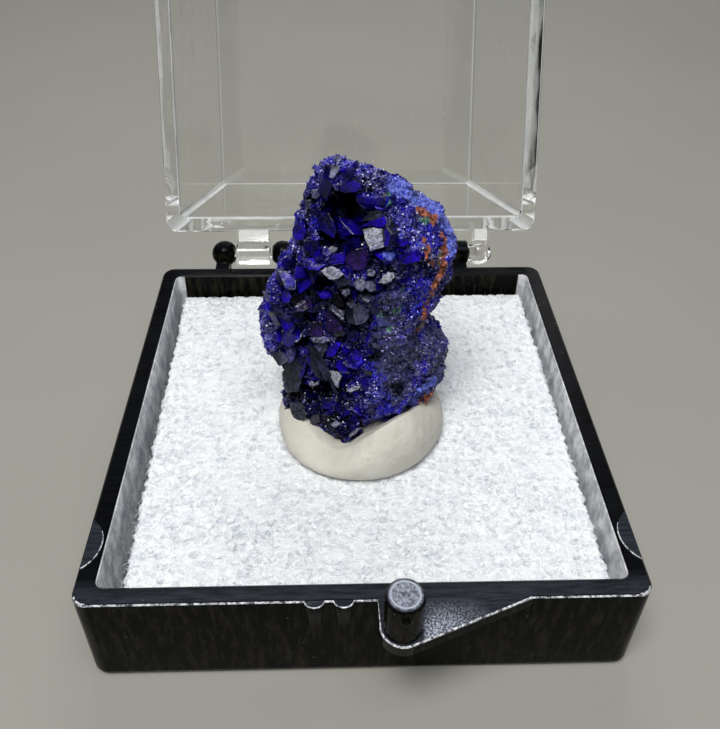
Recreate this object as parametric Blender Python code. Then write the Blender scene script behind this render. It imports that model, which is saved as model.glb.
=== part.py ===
"""Azurite specimen on a lump of putty in its hinged display box, in metres, +Z up.

The origin is the centre of the box's underside. +X is to the right and +Y goes back to the hinges.
The lid is open and its far edge lies on the table, so the closed box is the other end of its travel.
"""
import math
import random

import bmesh
import bpy
from mathutils import Matrix, Vector, noise
from mathutils.bvhtree import BVHTree

MM = 0.001

# Gap left between pieces that touch
TOUCH_GAP = 0.3 * MM

# Box base
BOX_HALF = 28.5 * MM
BASE_HEIGHT = 13.0 * MM
BASE_UNDERSIDE_HALF = 28.4 * MM
BASE_BOTTOM_ROUND = 1.0 * MM
BASE_INNER_HALF = 26.4 * MM
BASE_FLOOR_HALF = 25.9 * MM
BASE_FLOOR_THICKNESS = 1.6 * MM
CORNER_RADIUS = 1.6 * MM
INNER_CORNER_RADIUS = 0.8 * MM
RIM_CHAMFER = 0.25 * MM
CORNER_STEPS = 4
SMALLEST_CORNER = 0.2 * MM

# Thumb tab, post and front ribs
TAB_THICKNESS = 1.45 * MM
TAB_ROOT_DEPTH = 0.6 * MM
POST_CENTRE = Vector((3.45 * MM, -31.15 * MM, 0.0))
POST_RADIUS = 1.9 * MM
POST_RISE = 5.0 * MM
POST_EDGE_ROUND = 0.45 * MM
POST_EDGE_STEPS = 3
POST_SIDES = 24
NOSE_RADIUS = 2.25 * MM
TAB_RAMP_END = 16.3 * MM
NOSE_STEPS = 14
NUB_RADIUS = 0.75 * MM
NUB_DROP = 1.25 * MM
NUB_SUNK = 0.26 * MM
RIB_CENTRES = (-4.95 * MM, -2.1 * MM)
RIB_HALF_WIDTH = 1.0 * MM
RIB_PROUD = 0.7 * MM
RIB_LENGTH = 4.4 * MM
RIB_LEVELS = (0.0, 0.35, 0.7, 1.0)
RIB_NARROWING = 0.55
RIB_STEPS = 8

# Half-disc marks sunk in the side rims
MARK_RADIUS = 3.5 * MM
MARK_CENTRE_X = 30.3 * MM
MARK_CENTRE_Y = 21.3 * MM
MARK_DEPTH = 0.25 * MM
MARK_SIDES = 40

# Hinges
HINGE_BEHIND = 3.4 * MM
HINGE_ABOVE = 0.4 * MM
HINGE_CENTRES = (-15.2 * MM, 15.4 * MM)
BARREL_HALF = 2.6 * MM
BARREL_RADIUS = 1.85 * MM
KNOB_OFFSET = 4.5 * MM
KNOB_RADIUS = 2.0 * MM
STUB_RADIUS = 0.6 * MM
STUB_LENGTH = 1.5 * MM
SOCKET_RADIUS = 0.95 * MM
SOCKET_DEPTH = 1.9 * MM
HINGE_SIDES = 16
KNOB_STEPS = 6
BARREL_EDGE = 0.2 * MM
ARM_HALF = 1.0 * MM
ARM_THICKNESS = 2.1 * MM
ARM_ROOT = 0.7 * MM
ARM_OUTWARD = 0.2 * MM
BARREL_ARM_INSET = 0.3 * MM

# Lid
LID_DEPTH = 46.0 * MM
LID_TOP_HALF = 27.2 * MM
LID_EDGE_ROUND = 1.0 * MM
LID_INNER_HALF = 26.2 * MM
LID_INNER_TOP_HALF = 25.4 * MM
LID_INNER_DEPTH = 44.7 * MM
LATCH_HOLE_RADIUS = 2.4 * MM
LATCH_NOSE_RADIUS = 3.5 * MM
LATCH_THICKNESS = 1.5 * MM
TABLE_CLEARANCE = 0.05 * MM

# Foam pad
FOAM_TOP = BASE_HEIGHT - 2.9 * MM
FOAM_LEFT_FRONT = -24.9 * MM
FOAM_LEFT_BACK = -25.6 * MM
FOAM_RIGHT = 25.9 * MM
FOAM_FRONT = -25.8 * MM
FOAM_BACK = 25.8 * MM
FOAM_UNDERCUT = 0.35 * MM
FOAM_RAGGED = 0.22 * MM
FOAM_RAGGED_SIZE = 2.3 * MM
FOAM_SIDE_STEPS = 12
FOAM_EDGE_DEPTH = 0.8 * MM
FOAM_EDGE_INSET = 0.1 * MM

# Putty
PUTTY_CENTRE = Vector((0.4 * MM, -1.4 * MM, 0.0))
PUTTY_HALF_X = 10.1 * MM
PUTTY_HALF_Y = 10.3 * MM
PUTTY_HEIGHT = 5.2 * MM
PUTTY_LUMPS = 0.35 * MM
PUTTY_LUMP_SIZE = 4.5 * MM
PUTTY_AROUND = 32
PUTTY_LEAN = 0.16
PUTTY_LEAN_TOWARDS = 0.5
# Its profile: share of the height, share of the half width
PUTTY_PROFILE = (
    (0.0, 0.93), (0.12, 0.985), (0.28, 1.0), (0.48, 0.98),
    (0.66, 0.91), (0.81, 0.78), (0.93, 0.56), (0.985, 0.32),
)
PUTTY_SOCKET_GAP = 0.5 * MM
PUTTY_SOCKET_TOP = 3.2 * MM

# Specimen: heights are counted from the rim of the base
# height, left, right, front, back, and where its front ridge stands
SPECIMEN_LEVELS = (
    (-1.3, -3.8, 2.8, -6.5, 2.0, -1.5),
    (0.0, -8.3, 6.2, -6.8, 4.0, -1.3),
    (1.4, -9.4, 8.8, -6.8, 5.2, -0.9),
    (4.0, -9.2, 10.7, -6.6, 6.4, 0.2),
    (7.0, -10.4, 11.1, -6.4, 6.8, 1.2),
    (9.8, -11.6, 10.8, -6.3, 7.0, 1.8),
    (12.8, -11.8, 8.5, -6.2, 6.9, 2.4),
    (14.6, -11.3, 8.9, -6.1, 6.8, 2.8),
    (17.0, -9.9, 10.6, -6.0, 6.6, 3.0),
    (20.0, -8.6, 11.2, -5.9, 6.4, 3.0),
    (23.0, -7.7, 11.0, -5.7, 6.0, 2.6),
    (26.0, -7.0, 8.6, -5.4, 5.4, 2.0),
    (28.6, -6.2, 6.0, -4.8, 4.7, 1.0),
    (30.6, -5.3, 3.4, -3.8, 3.6, -0.4),
    (32.0, -4.9, 0.8, -2.6, 2.4, -1.8),
    (32.7, -3.8, -1.6, -1.3, 1.0, -2.6),
)
AROUND = 32
LEVEL_STEPS = 2
FRONT_SQUARENESS = 1.75
BACK_SQUARENESS = 2.3
ROCK_LUMPS = 0.8
ROCK_LUMP_SIZE = 3.2
FACET_JITTER = 0.42
FACET_GRAIN = 0.47
DEPTH_WEIGHT = 1.6
POCKET_STEEPNESS = 2.2

# The open pockets of large crystals: centre across and over the rim, half width, half height, depth
POCKETS = (
    (-3.8, 10.5, 6.4, 12.0, 2.3),
    (-1.3, 26.4, 3.6, 4.6, 3.6),
    (-4.8, 4.0, 3.2, 3.6, 3.4),
)

# Direction in which the largest crystal faces look, up and forward
GLEAM = (-0.12, -0.61, 0.78)

# Large crystals: across, height, face length, face width, face turn in degrees, where it faces,
# how far it stands out
LARGE_CRYSTALS = (
    (1.6, 22.6, 2.9, 2.3, 70, GLEAM, 0.9),
    (0.4, 25.0, 2.2, 1.4, 20, (-0.5, -0.7, 0.5), 0.2),
    (-3.2, 18.6, 3.1, 1.5, -14, GLEAM, 1.0),
    (3.0, 18.2, 2.4, 1.4, 24, GLEAM, 0.8),
    (0.1, 17.4, 2.3, 1.6, 60, (0.1, -0.8, 0.6), 0.5),
    (1.4, 15.8, 2.4, 1.7, 50, (0.15, -0.85, 0.5), 0.4),
    (1.5, 19.4, 1.5, 1.1, 10, (0.2, -0.6, 0.8), 0.5),
    (-0.9, 14.9, 1.6, 1.3, 30, GLEAM, 0.5),
    (0.1, 13.3, 2.9, 2.2, 65, (0.1, -0.9, 0.4), 0.4),
    (-2.7, 13.4, 3.1, 1.1, -45, (-0.3, -0.75, 0.6), 0.6),
    (-0.4, 21.0, 3.4, 2.6, 70, (-0.4, -0.85, 0.3), 0.4),
    (-3.0, 22.4, 2.2, 1.5, 50, (-0.7, -0.6, 0.4), 0.3),
    (3.2, 21.0, 2.4, 1.9, 20, (0.3, -0.85, 0.4), 0.6),
    (-4.9, 20.2, 3.3, 1.9, -20, (-0.3, -0.8, 0.5), 0.7),
    (-3.6, 16.6, 4.0, 1.6, -10, (0.0, -0.9, -0.3), 0.1),
    (-6.9, 14.4, 3.8, 1.8, 30, (-0.5, -0.7, 0.5), 0.5),
    (-4.9, 11.4, 2.4, 2.0, 80, (-0.2, -0.9, 0.4), 0.4),
    (-7.2, 10.6, 2.6, 1.7, -30, (-0.7, -0.6, 0.4), 0.6),
    (-2.9, 9.2, 2.8, 2.0, 60, (-0.1, -0.9, 0.4), 0.3),
    (-2.8, 5.4, 2.2, 1.9, -60, GLEAM, 0.5),
    (-4.9, 6.8, 5.4, 0.9, -62, (0.75, -0.65, 0.1), 0.9),
    (-6.3, 7.0, 5.0, 1.3, -80, (-0.6, -0.75, 0.2), 0.3),
    (-7.9, 4.4, 5.0, 2.4, 86, (-0.85, -0.5, 0.1), 0.4),
    (-6.8, 1.6, 3.4, 2.6, 20, (-0.4, -0.85, 0.2), 0.4),
    (-4.6, 1.3, 3.0, 1.6, 55, (-0.2, -0.95, 0.1), 0.3),
    (-1.8, 0.9, 3.0, 2.4, 50, (0.2, -0.9, 0.3), 0.5),
    (-1.2, 12.0, 1.8, 1.6, 0, (0.1, -0.8, 0.6), 0.5),
    (-5.5, 24.4, 3.2, 2.0, 70, (-0.7, -0.65, 0.3), 0.4),
    (-6.9, 22.6, 2.6, 1.7, 85, (-0.8, -0.5, 0.3), 0.5),
    (-3.0, 31.2, 2.6, 1.2, 80, (-0.4, -0.8, 0.4), 0.6),
    (-4.6, 32.0, 1.7, 1.3, 30, (-0.6, -0.7, 0.4), 0.7),
    (0.6, 27.0, 2.0, 1.6, 40, (-0.6, -0.7, 0.4), 0.2),
)
LARGE_ROOT = 2.6
LARGE_WEDGE = 0.2
LARGE_SUNK = 0.6
LARGE_STRETCH = 1.1

# Shape of a crystal: shares of its half width and half thickness
FLAT_SHARE = 0.6
EDGE_SHARES = (0.45, -0.3)
EDGE_THICKNESS = 0.2

POCKET_BLADES = 32
BLADE_SEED = 11
BLADE_LENGTH = (2.0, 4.0)
BLADE_WIDTH = (1.2, 2.4)
BLADE_THICKNESS = (0.5, 1.1)
BLADE_SPREAD = 0.75
BLADE_FACE_SPREAD = 0.9
BLADE_SUNK = 0.35
POCKET_REACH = 0.9
POCKET_LEAST = 0.3

CRUST_CRYSTALS = 34
CRUST_SEED = 5
CRUST_SIZE = (1.3, 2.3)
CRUST_SPREAD = 0.45
CRUST_LENGTH = 1.25
CRUST_THICKNESS = (0.5, 0.8)
CRUST_SUNK = 0.95
CRUST_WEDGE = 0.35
CRUST_POCKET_LIMIT = 0.5


def clear_scene():
    """Remove every object that is already there."""
    for item in list(bpy.data.objects):
        bpy.data.objects.remove(item, do_unlink=True)


def finish_material(name, colour, roughness, metallic=0.0):
    """A material for one piece."""
    material = bpy.data.materials.new(name)
    material.use_nodes = True
    shader = material.node_tree.nodes["Principled BSDF"]
    shader.inputs["Base Color"].default_value = (*colour, 1.0)
    shader.inputs["Roughness"].default_value = roughness
    shader.inputs["Metallic"].default_value = metallic
    material.diffuse_color = (*colour, 1.0)
    return material


def new_object(name, bm, material=None):
    """Turn a bmesh into an object with its faces pointing out."""
    bmesh.ops.recalc_face_normals(bm, faces=bm.faces)
    mesh = bpy.data.meshes.new(name)
    bm.to_mesh(mesh)
    bm.free()
    item = bpy.data.objects.new(name, mesh)
    bpy.context.scene.collection.objects.link(item)
    if material:
        mesh.materials.append(material)
    return item


def drop(item):
    """Remove a helper object."""
    bpy.data.objects.remove(item, do_unlink=True)


def combine(base, others, operation="UNION"):
    """Fuse the others to the base piece, or cut them from it, and keep one mesh."""
    group = bpy.data.collections.new("operands")
    bpy.context.scene.collection.children.link(group)
    for item in others:
        group.objects.link(item)
    modifier = base.modifiers.new("combine", "BOOLEAN")
    modifier.operation = operation
    modifier.operand_type = "COLLECTION"
    modifier.collection = group
    modifier.solver = "EXACT"
    graph = bpy.context.evaluated_depsgraph_get()
    graph.update()
    mesh = bpy.data.meshes.new_from_object(base.evaluated_get(graph))
    base.modifiers.remove(modifier)
    material = base.data.materials[0] if base.data.materials else None
    base.data = mesh
    mesh.materials.clear()
    if material:
        mesh.materials.append(material)
    for item in others:
        drop(item)
    bpy.data.collections.remove(group)
    return base


def tidy_mesh(item, distance=0.002 * MM):
    """Merge points that a cut left together and split every face into triangles."""
    bm = bmesh.new()
    bm.from_mesh(item.data)
    bmesh.ops.remove_doubles(bm, verts=bm.verts, dist=distance)
    bmesh.ops.dissolve_degenerate(bm, edges=bm.edges, dist=distance)
    bmesh.ops.triangulate(bm, faces=bm.faces)
    bm.to_mesh(item.data)
    bm.free()


def keep_outer_shell(item):
    """Leave only the largest shell: small hollows sealed inside become solid."""
    bm = bmesh.new()
    bm.from_mesh(item.data)
    waiting = set(bm.verts)
    shells = []
    while waiting:
        reached = {waiting.pop()}
        front = list(reached)
        while front:
            vertex = front.pop()
            near = {edge.other_vert(vertex) for edge in vertex.link_edges} - reached
            reached |= near
            front.extend(near)
        waiting -= reached
        shells.append(reached)
    shells.sort(key=len)
    inner = [vertex for shell in shells[:-1] for vertex in shell]
    bmesh.ops.delete(bm, geom=inner, context="VERTS")
    bm.to_mesh(item.data)
    bm.free()


def smooth_rounds(item, angle=32.0):
    """Shade the round faces smooth and keep the corners sharp."""
    item.data.shade_smooth()
    item.data.set_sharp_from_angle(angle=math.radians(angle))


def rounded_square(half, radius, z):
    """One level of a box: a square with round corners, anticlockwise."""
    points = []
    inset = half - radius
    corners = ((inset, inset), (-inset, inset), (-inset, -inset), (inset, -inset))
    for quarter, (x, y) in enumerate(corners):
        for step in range(CORNER_STEPS + 1):
            angle = math.radians(90.0 * (quarter + step / CORNER_STEPS))
            points.append(Vector((x + radius * math.cos(angle), y + radius * math.sin(angle), z)))
    return points


def skin(bm, rings):
    """Join the rings one after the other and close both ends."""
    levels = [[bm.verts.new(point) for point in ring] for ring in rings]
    count = len(levels[0])
    for lower, upper in zip(levels, levels[1:]):
        for index in range(count):
            after = (index + 1) % count
            bm.faces.new((lower[index], lower[after], upper[after], upper[index]))
    bm.faces.new(levels[0])
    bm.faces.new(levels[-1])


def skinned_object(name, rings, material=None):
    """An object from rings of points."""
    bm = bmesh.new()
    skin(bm, rings)
    return new_object(name, bm, material)


def turned(name, profile, sides, place):
    """A piece turned about its own X axis from (along, radius) points, moved by a matrix."""
    bm = bmesh.new()
    rings = []
    for along, radius in profile:
        if radius == 0.0:
            rings.append([bm.verts.new((along, 0.0, 0.0))])
            continue
        ring = []
        for side in range(sides):
            angle = math.tau * side / sides
            ring.append(bm.verts.new((along, radius * math.cos(angle), radius * math.sin(angle))))
        rings.append(ring)
    for first, second in zip(rings, rings[1:]):
        for side in range(sides):
            after = (side + 1) % sides
            corners = (first[side % len(first)], first[after % len(first)],
                       second[after % len(second)], second[side % len(second)])
            bm.faces.new(list(dict.fromkeys(corners)))
    bmesh.ops.transform(bm, matrix=place, verts=bm.verts)
    return new_object(name, bm)


def block(name, low, high):
    """A plain box between two corners."""
    bm = bmesh.new()
    bmesh.ops.create_cube(bm, size=1.0)
    size = Vector(high) - Vector(low)
    bmesh.ops.scale(bm, vec=size, verts=bm.verts)
    bmesh.ops.translate(bm, vec=Vector(low) + size / 2, verts=bm.verts)
    return new_object(name, bm)


def plate(name, outline, bottom, top):
    """A flat plate from its outline, which goes anticlockwise."""
    rings = [[Vector((x, y, z)) for x, y in outline] for z in (bottom, top)]
    return skinned_object(name, rings)


def upright(name, radius, bottom, top, x, y, sides=28):
    """A plain upright cylinder."""
    outline = [(x + radius * math.cos(math.tau * side / sides),
                y + radius * math.sin(math.tau * side / sides)) for side in range(sides)]
    return plate(name, outline, bottom, top)


def rounded_edge(half, corner, z, radius, start, end, steps=3):
    """Levels of a box round a horizontal outside edge; angles are measured from straight out."""
    levels = []
    for step in range(steps + 1):
        angle = math.radians(start + (end - start) * step / steps)
        reach = radius * (math.cos(angle) - 1.0)
        levels.append((half + reach, max(corner + reach, SMALLEST_CORNER), z + radius * math.sin(angle)))
    return levels


def box_rings(levels):
    """Rings from (half width, corner radius, height) levels."""
    return [rounded_square(half, radius, z) for half, radius, z in levels]


def nose_outline(radius, ramp_end, wall_y):
    """A tab in plan: straight out on one side, round the post, and a long ramp back to the wall."""
    centre = POST_CENTRE
    side = 1.0 if ramp_end > centre.x else -1.0
    span = Vector((abs(ramp_end - centre.x), -BOX_HALF - centre.y))
    tangent = math.atan2(span.y, span.x) - math.acos(radius / span.length)
    points = [(-radius, wall_y - centre.y)]
    for step in range(NOSE_STEPS + 1):
        angle = math.pi + (math.pi + tangent) * step / NOSE_STEPS
        points.append((radius * math.cos(angle), radius * math.sin(angle)))
    points.append((span.x, span.y))
    points.append((span.x, wall_y - centre.y))
    placed = [(centre.x + side * x, centre.y + y) for x, y in points]
    return placed if side > 0 else placed[::-1]


def base_tray(material):
    """The open tray with its drafted walls and small chamfers on the rim."""
    levels = rounded_edge(BASE_UNDERSIDE_HALF, CORNER_RADIUS, BASE_BOTTOM_ROUND, BASE_BOTTOM_ROUND,
                          -90.0, 0.0)
    levels += [
        (BOX_HALF, CORNER_RADIUS, BASE_HEIGHT - RIM_CHAMFER),
        (BOX_HALF - RIM_CHAMFER, CORNER_RADIUS - RIM_CHAMFER, BASE_HEIGHT),
        (BASE_INNER_HALF + RIM_CHAMFER, INNER_CORNER_RADIUS + RIM_CHAMFER, BASE_HEIGHT),
        (BASE_INNER_HALF, INNER_CORNER_RADIUS, BASE_HEIGHT - RIM_CHAMFER),
        (BASE_FLOOR_HALF, INNER_CORNER_RADIUS, BASE_FLOOR_THICKNESS),
    ]
    return skinned_object("box_base", box_rings(levels), material)


def post():
    """The round post on the tab, with a rounded top edge."""
    top = BASE_HEIGHT + POST_RISE
    profile = [(BASE_HEIGHT - TAB_THICKNESS / 2, 0.0), (BASE_HEIGHT - TAB_THICKNESS / 2, POST_RADIUS)]
    for step in range(POST_EDGE_STEPS + 1):
        angle = math.radians(90.0 * step / POST_EDGE_STEPS)
        profile.append((top - POST_EDGE_ROUND * (1.0 - math.sin(angle)),
                        POST_RADIUS - POST_EDGE_ROUND * (1.0 - math.cos(angle))))
    profile.append((top, 0.0))
    stand = Matrix.Translation(POST_CENTRE) @ Matrix.Rotation(-math.pi / 2, 4, "Y")
    return turned("post", profile, POST_SIDES, stand)


def nub():
    """The small round nub on the front of the post."""
    bm = bmesh.new()
    centre = Vector((POST_CENTRE.x, POST_CENTRE.y - POST_RADIUS + NUB_SUNK,
                     BASE_HEIGHT + POST_RISE - NUB_DROP))
    bmesh.ops.create_icosphere(bm, subdivisions=1, radius=NUB_RADIUS, matrix=Matrix.Translation(centre))
    return new_object("nub", bm)


def front_rib(x):
    """A short half-round rib that tapers away down the front of the base."""
    rings = []
    for share in RIB_LEVELS:
        wide = RIB_HALF_WIDTH * (1.0 - RIB_NARROWING * share)
        proud = RIB_PROUD * (1.0 - share)
        z = BASE_HEIGHT - RIM_CHAMFER / 2 - RIB_LENGTH * share
        wall = -BOX_HALF + (BOX_HALF - BASE_UNDERSIDE_HALF) * (BASE_HEIGHT - z) / BASE_HEIGHT
        ring = [Vector((x - wide, wall + RIB_PROUD, z))]
        for step in range(RIB_STEPS + 1):
            angle = math.pi * (1.0 + step / RIB_STEPS)
            ring.append(Vector((x + wide * math.cos(angle), wall + proud * math.sin(angle), z)))
        ring.append(Vector((x + wide, wall + RIB_PROUD, z)))
        rings.append(ring)
    return skinned_object("rib", rings)


def rim_marks(y, z_low, z_high):
    """Cutters for the half-disc marks in both side rims."""
    return [upright("mark", MARK_RADIUS, z_low, z_high, side * MARK_CENTRE_X, y, MARK_SIDES)
            for side in (-1, 1)]


def hinge_axis():
    """A point on the lid's axis."""
    return Vector((0.0, BOX_HALF + HINGE_BEHIND, BASE_HEIGHT + HINGE_ABOVE))


def knob(centre_x, facing):
    """A ball cut flat towards the barrel, with a blind socket for the barrel's stub."""
    flat = KNOB_OFFSET - BARREL_HALF - TOUCH_GAP
    flat_angle = math.acos(-flat / KNOB_RADIUS)
    profile = [(KNOB_RADIUS, 0.0)]
    for step in range(1, KNOB_STEPS + 1):
        angle = flat_angle * step / KNOB_STEPS
        profile.append((KNOB_RADIUS * math.cos(angle), KNOB_RADIUS * math.sin(angle)))
    profile += [(-flat, SOCKET_RADIUS), (SOCKET_DEPTH - flat, SOCKET_RADIUS), (SOCKET_DEPTH - flat, 0.0)]
    turn = Matrix.Rotation(0.0 if facing < 0 else math.pi, 4, "Z")
    place = Matrix.Translation(hinge_axis() + Vector((centre_x, 0.0, 0.0))) @ turn
    return turned("knob", profile, HINGE_SIDES, place)


def barrel(centre_x):
    """The barrel between two knobs, with a stub at each end."""
    end = BARREL_HALF + STUB_LENGTH
    half = [(end, 0.0), (end, STUB_RADIUS), (BARREL_HALF, STUB_RADIUS),
            (BARREL_HALF, BARREL_RADIUS - BARREL_EDGE), (BARREL_HALF - BARREL_EDGE, BARREL_RADIUS)]
    profile = half + [(-along, radius) for along, radius in reversed(half)]
    place = Matrix.Translation(hinge_axis() + Vector((centre_x, 0.0, 0.0)))
    return turned("barrel", profile, HINGE_SIDES, place)


def arm(centre_x, half_width, above):
    """The bar that carries a knob or a barrel on the back wall, above or below the rim."""
    axis = hinge_axis()
    root = BOX_HALF - ARM_ROOT
    if above:
        low = BASE_HEIGHT + TOUCH_GAP
        high = low + ARM_THICKNESS
    else:
        high = BASE_HEIGHT - RIM_CHAMFER
        low = high - ARM_THICKNESS
    return block("arm", (centre_x - half_width, root, low), (centre_x + half_width, axis.y, high))


def socket_cores(centre_x):
    """Cutters that keep the two knobs' sockets open where their arms cross them."""
    cores = []
    for side in (-1, 1):
        start = BARREL_HALF + TOUCH_GAP / 2
        end = BARREL_HALF + TOUCH_GAP + SOCKET_DEPTH
        profile = [(start, 0.0), (start, SOCKET_RADIUS), (end, SOCKET_RADIUS), (end, 0.0)]
        turn = Matrix.Rotation(0.0 if side > 0 else math.pi, 4, "Z")
        place = Matrix.Translation(hinge_axis() + Vector((centre_x, 0.0, 0.0))) @ turn
        cores.append(turned("core", profile, HINGE_SIDES, place))
    return cores


def knob_pair(centre_x, above):
    """Two knobs with their arms."""
    pieces = []
    for side in (-1, 1):
        x = centre_x + side * KNOB_OFFSET
        pieces += [knob(x, -side), arm(x + side * ARM_OUTWARD, ARM_HALF, above)]
    return pieces


def barrel_set(centre_x, above):
    """One barrel with its wide arm."""
    return [barrel(centre_x), arm(centre_x, BARREL_HALF - BARREL_ARM_INSET, above)]


def box_base(material):
    """The whole black base."""
    base = base_tray(material)
    wall_y = -BOX_HALF + TAB_ROOT_DEPTH
    tab = plate("tab", nose_outline(NOSE_RADIUS, TAB_RAMP_END, wall_y), BASE_HEIGHT - TAB_THICKNESS,
                BASE_HEIGHT)
    pieces = [tab, post(), nub()] + [front_rib(x) for x in RIB_CENTRES]
    pieces += knob_pair(HINGE_CENTRES[0], False) + barrel_set(HINGE_CENTRES[1], False)
    combine(base, pieces)
    cutters = rim_marks(-MARK_CENTRE_Y, BASE_HEIGHT - MARK_DEPTH, BASE_HEIGHT + MARK_DEPTH)
    cutters += socket_cores(HINGE_CENTRES[0])
    combine(base, cutters, "DIFFERENCE")
    tidy_mesh(base)
    smooth_rounds(base)
    return base


def lid_tub(material):
    """The clear cover, mouth down, as it stands when the box is closed."""
    rim = BASE_HEIGHT + TOUCH_GAP
    top = rim + LID_DEPTH
    levels = [
        (LID_INNER_TOP_HALF, INNER_CORNER_RADIUS, rim + LID_INNER_DEPTH),
        (LID_INNER_HALF, INNER_CORNER_RADIUS, rim + RIM_CHAMFER),
        (LID_INNER_HALF + RIM_CHAMFER, INNER_CORNER_RADIUS + RIM_CHAMFER, rim),
        (BOX_HALF - RIM_CHAMFER, CORNER_RADIUS - RIM_CHAMFER, rim),
        (BOX_HALF, CORNER_RADIUS, rim + RIM_CHAMFER),
    ]
    levels += rounded_edge(LID_TOP_HALF, CORNER_RADIUS, top - LID_EDGE_ROUND, LID_EDGE_ROUND, 0.0, 90.0)
    return skinned_object("box_lid", box_rings(levels), material)


def lid_latch():
    """The lid's thumb tab, which ramps the other way from the base's."""
    rim = BASE_HEIGHT + TOUCH_GAP
    ramp_end = 2.0 * POST_CENTRE.x - TAB_RAMP_END
    outline = nose_outline(LATCH_NOSE_RADIUS, ramp_end, -BOX_HALF + TAB_ROOT_DEPTH)
    return plate("latch", outline, rim, rim + LATCH_THICKNESS)


def lid_open_angle():
    """The turn from closed to where the lid's far edge meets the table."""
    axis = hinge_axis()
    back = LID_TOP_HALF - LID_EDGE_ROUND - axis.y
    up = BASE_HEIGHT + TOUCH_GAP + LID_DEPTH - LID_EDGE_ROUND - axis.z
    reach = math.hypot(back, up)
    return math.acos((LID_EDGE_ROUND + TABLE_CLEARANCE - axis.z) / reach) - math.atan2(back, up)


def box_lid(material):
    """The whole clear lid, turned back on its hinges."""
    lid = lid_tub(material)
    pieces = [lid_latch()] + barrel_set(HINGE_CENTRES[0], True) + knob_pair(HINGE_CENTRES[1], True)
    combine(lid, pieces)
    rim = BASE_HEIGHT + TOUCH_GAP
    cutters = rim_marks(MARK_CENTRE_Y, rim - MARK_DEPTH, rim + MARK_DEPTH)
    cutters += socket_cores(HINGE_CENTRES[1])
    cutters.append(upright("latch_hole", LATCH_HOLE_RADIUS, rim - MM, rim + LATCH_THICKNESS + MM,
                           POST_CENTRE.x, POST_CENTRE.y))
    combine(lid, cutters, "DIFFERENCE")
    tidy_mesh(lid)
    axis = hinge_axis()
    lid.data.transform(Matrix.Translation(-axis))
    lid.location = axis
    lid.rotation_euler.x = -lid_open_angle()
    smooth_rounds(lid)
    return lid


def foam_pad(material):
    """The foam pad, cut by hand, so that its edges wander a little."""
    corners = ((FOAM_LEFT_FRONT, FOAM_FRONT), (FOAM_RIGHT, FOAM_FRONT), (FOAM_RIGHT, FOAM_BACK),
               (FOAM_LEFT_BACK, FOAM_BACK))
    outline = []
    for start, end in zip(corners, corners[1:] + corners[:1]):
        for step in range(FOAM_SIDE_STEPS):
            point = Vector(start).lerp(Vector(end), step / FOAM_SIDE_STEPS)
            place = Vector((point.x, point.y, 0.0)) / FOAM_RAGGED_SIZE
            wander = FOAM_RAGGED * (0.5 + 0.5 * noise.noise(place))
            outline.append(point * (1.0 - wander / point.length))
    rings = []
    bottom = BASE_FLOOR_THICKNESS + TOUCH_GAP
    levels = ((bottom, FOAM_UNDERCUT), (FOAM_TOP - FOAM_EDGE_DEPTH, FOAM_EDGE_INSET), (FOAM_TOP, 0.0))
    for z, shrink in levels:
        rings.append([Vector((*(point * (1.0 - shrink / point.length)), z)) for point in outline])
    return skinned_object("foam_pad", rings, material)


def putty_blob(material):
    """A thumb-pressed lump with bulging sides and a low uneven top."""
    bottom = FOAM_TOP + TOUCH_GAP
    rings = []
    for height, spread in PUTTY_PROFILE:
        ring = []
        for side in range(PUTTY_AROUND):
            angle = math.tau * side / PUTTY_AROUND
            x = PUTTY_HALF_X * spread * math.cos(angle)
            y = PUTTY_HALF_Y * spread * math.sin(angle)
            lift = 1.0 + PUTTY_LEAN * math.cos(angle - PUTTY_LEAN_TOWARDS)
            lump = PUTTY_LUMPS * noise.noise(Vector((x, y, height * PUTTY_HEIGHT)) / PUTTY_LUMP_SIZE)
            scale = 1.0 + lump / PUTTY_HALF_X
            z = bottom + PUTTY_HEIGHT * height * lift * (1.0 if height == 0.0 else scale)
            ring.append(Vector((PUTTY_CENTRE.x + x * scale, PUTTY_CENTRE.y + y * scale, z)))
        rings.append(ring)
    return skinned_object("mineral_tack", rings, material)


def press_in(putty, specimen, top):
    """Hollow the putty where the specimen stands in it, a little wider than the specimen."""
    bm = bmesh.new()
    for vertex in specimen.data.vertices:
        if vertex.co.z < top:
            bm.verts.new(vertex.co)
    hull = bmesh.ops.convex_hull(bm, input=bm.verts)
    spare = hull["geom_interior"] + hull["geom_unused"]
    loose = [item for item in spare if isinstance(item, bmesh.types.BMVert)]
    bmesh.ops.delete(bm, geom=list(set(loose)), context="VERTS")
    bmesh.ops.recalc_face_normals(bm, faces=bm.faces)
    bm.normal_update()
    moves = {vertex: vertex.normal * PUTTY_SOCKET_GAP for vertex in bm.verts}
    for vertex, move in moves.items():
        vertex.co += move
    combine(putty, [new_object("socket", bm)], "DIFFERENCE")
    tidy_mesh(putty)
    return putty


def level_values(height):
    """The specimen's extents at a height, on a smooth line through its levels."""
    levels = SPECIMEN_LEVELS
    for lower, upper in zip(levels, levels[1:]):
        if height <= upper[0]:
            share = (height - lower[0]) / (upper[0] - lower[0])
            return [low + (high - low) * share for low, high in zip(lower[1:], upper[1:])]
    return list(levels[-1][1:])


def pocket_depth(x, height):
    """How far the front is hollowed at a place."""
    depth = 0.0
    for centre_x, centre_z, half_x, half_z, deep in POCKETS:
        away = math.hypot((x - centre_x) / half_x, (height - centre_z) / half_z)
        depth = max(depth, deep * min(1.0, max(0.0, (1.0 - away) * POCKET_STEEPNESS)))
    return depth


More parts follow.
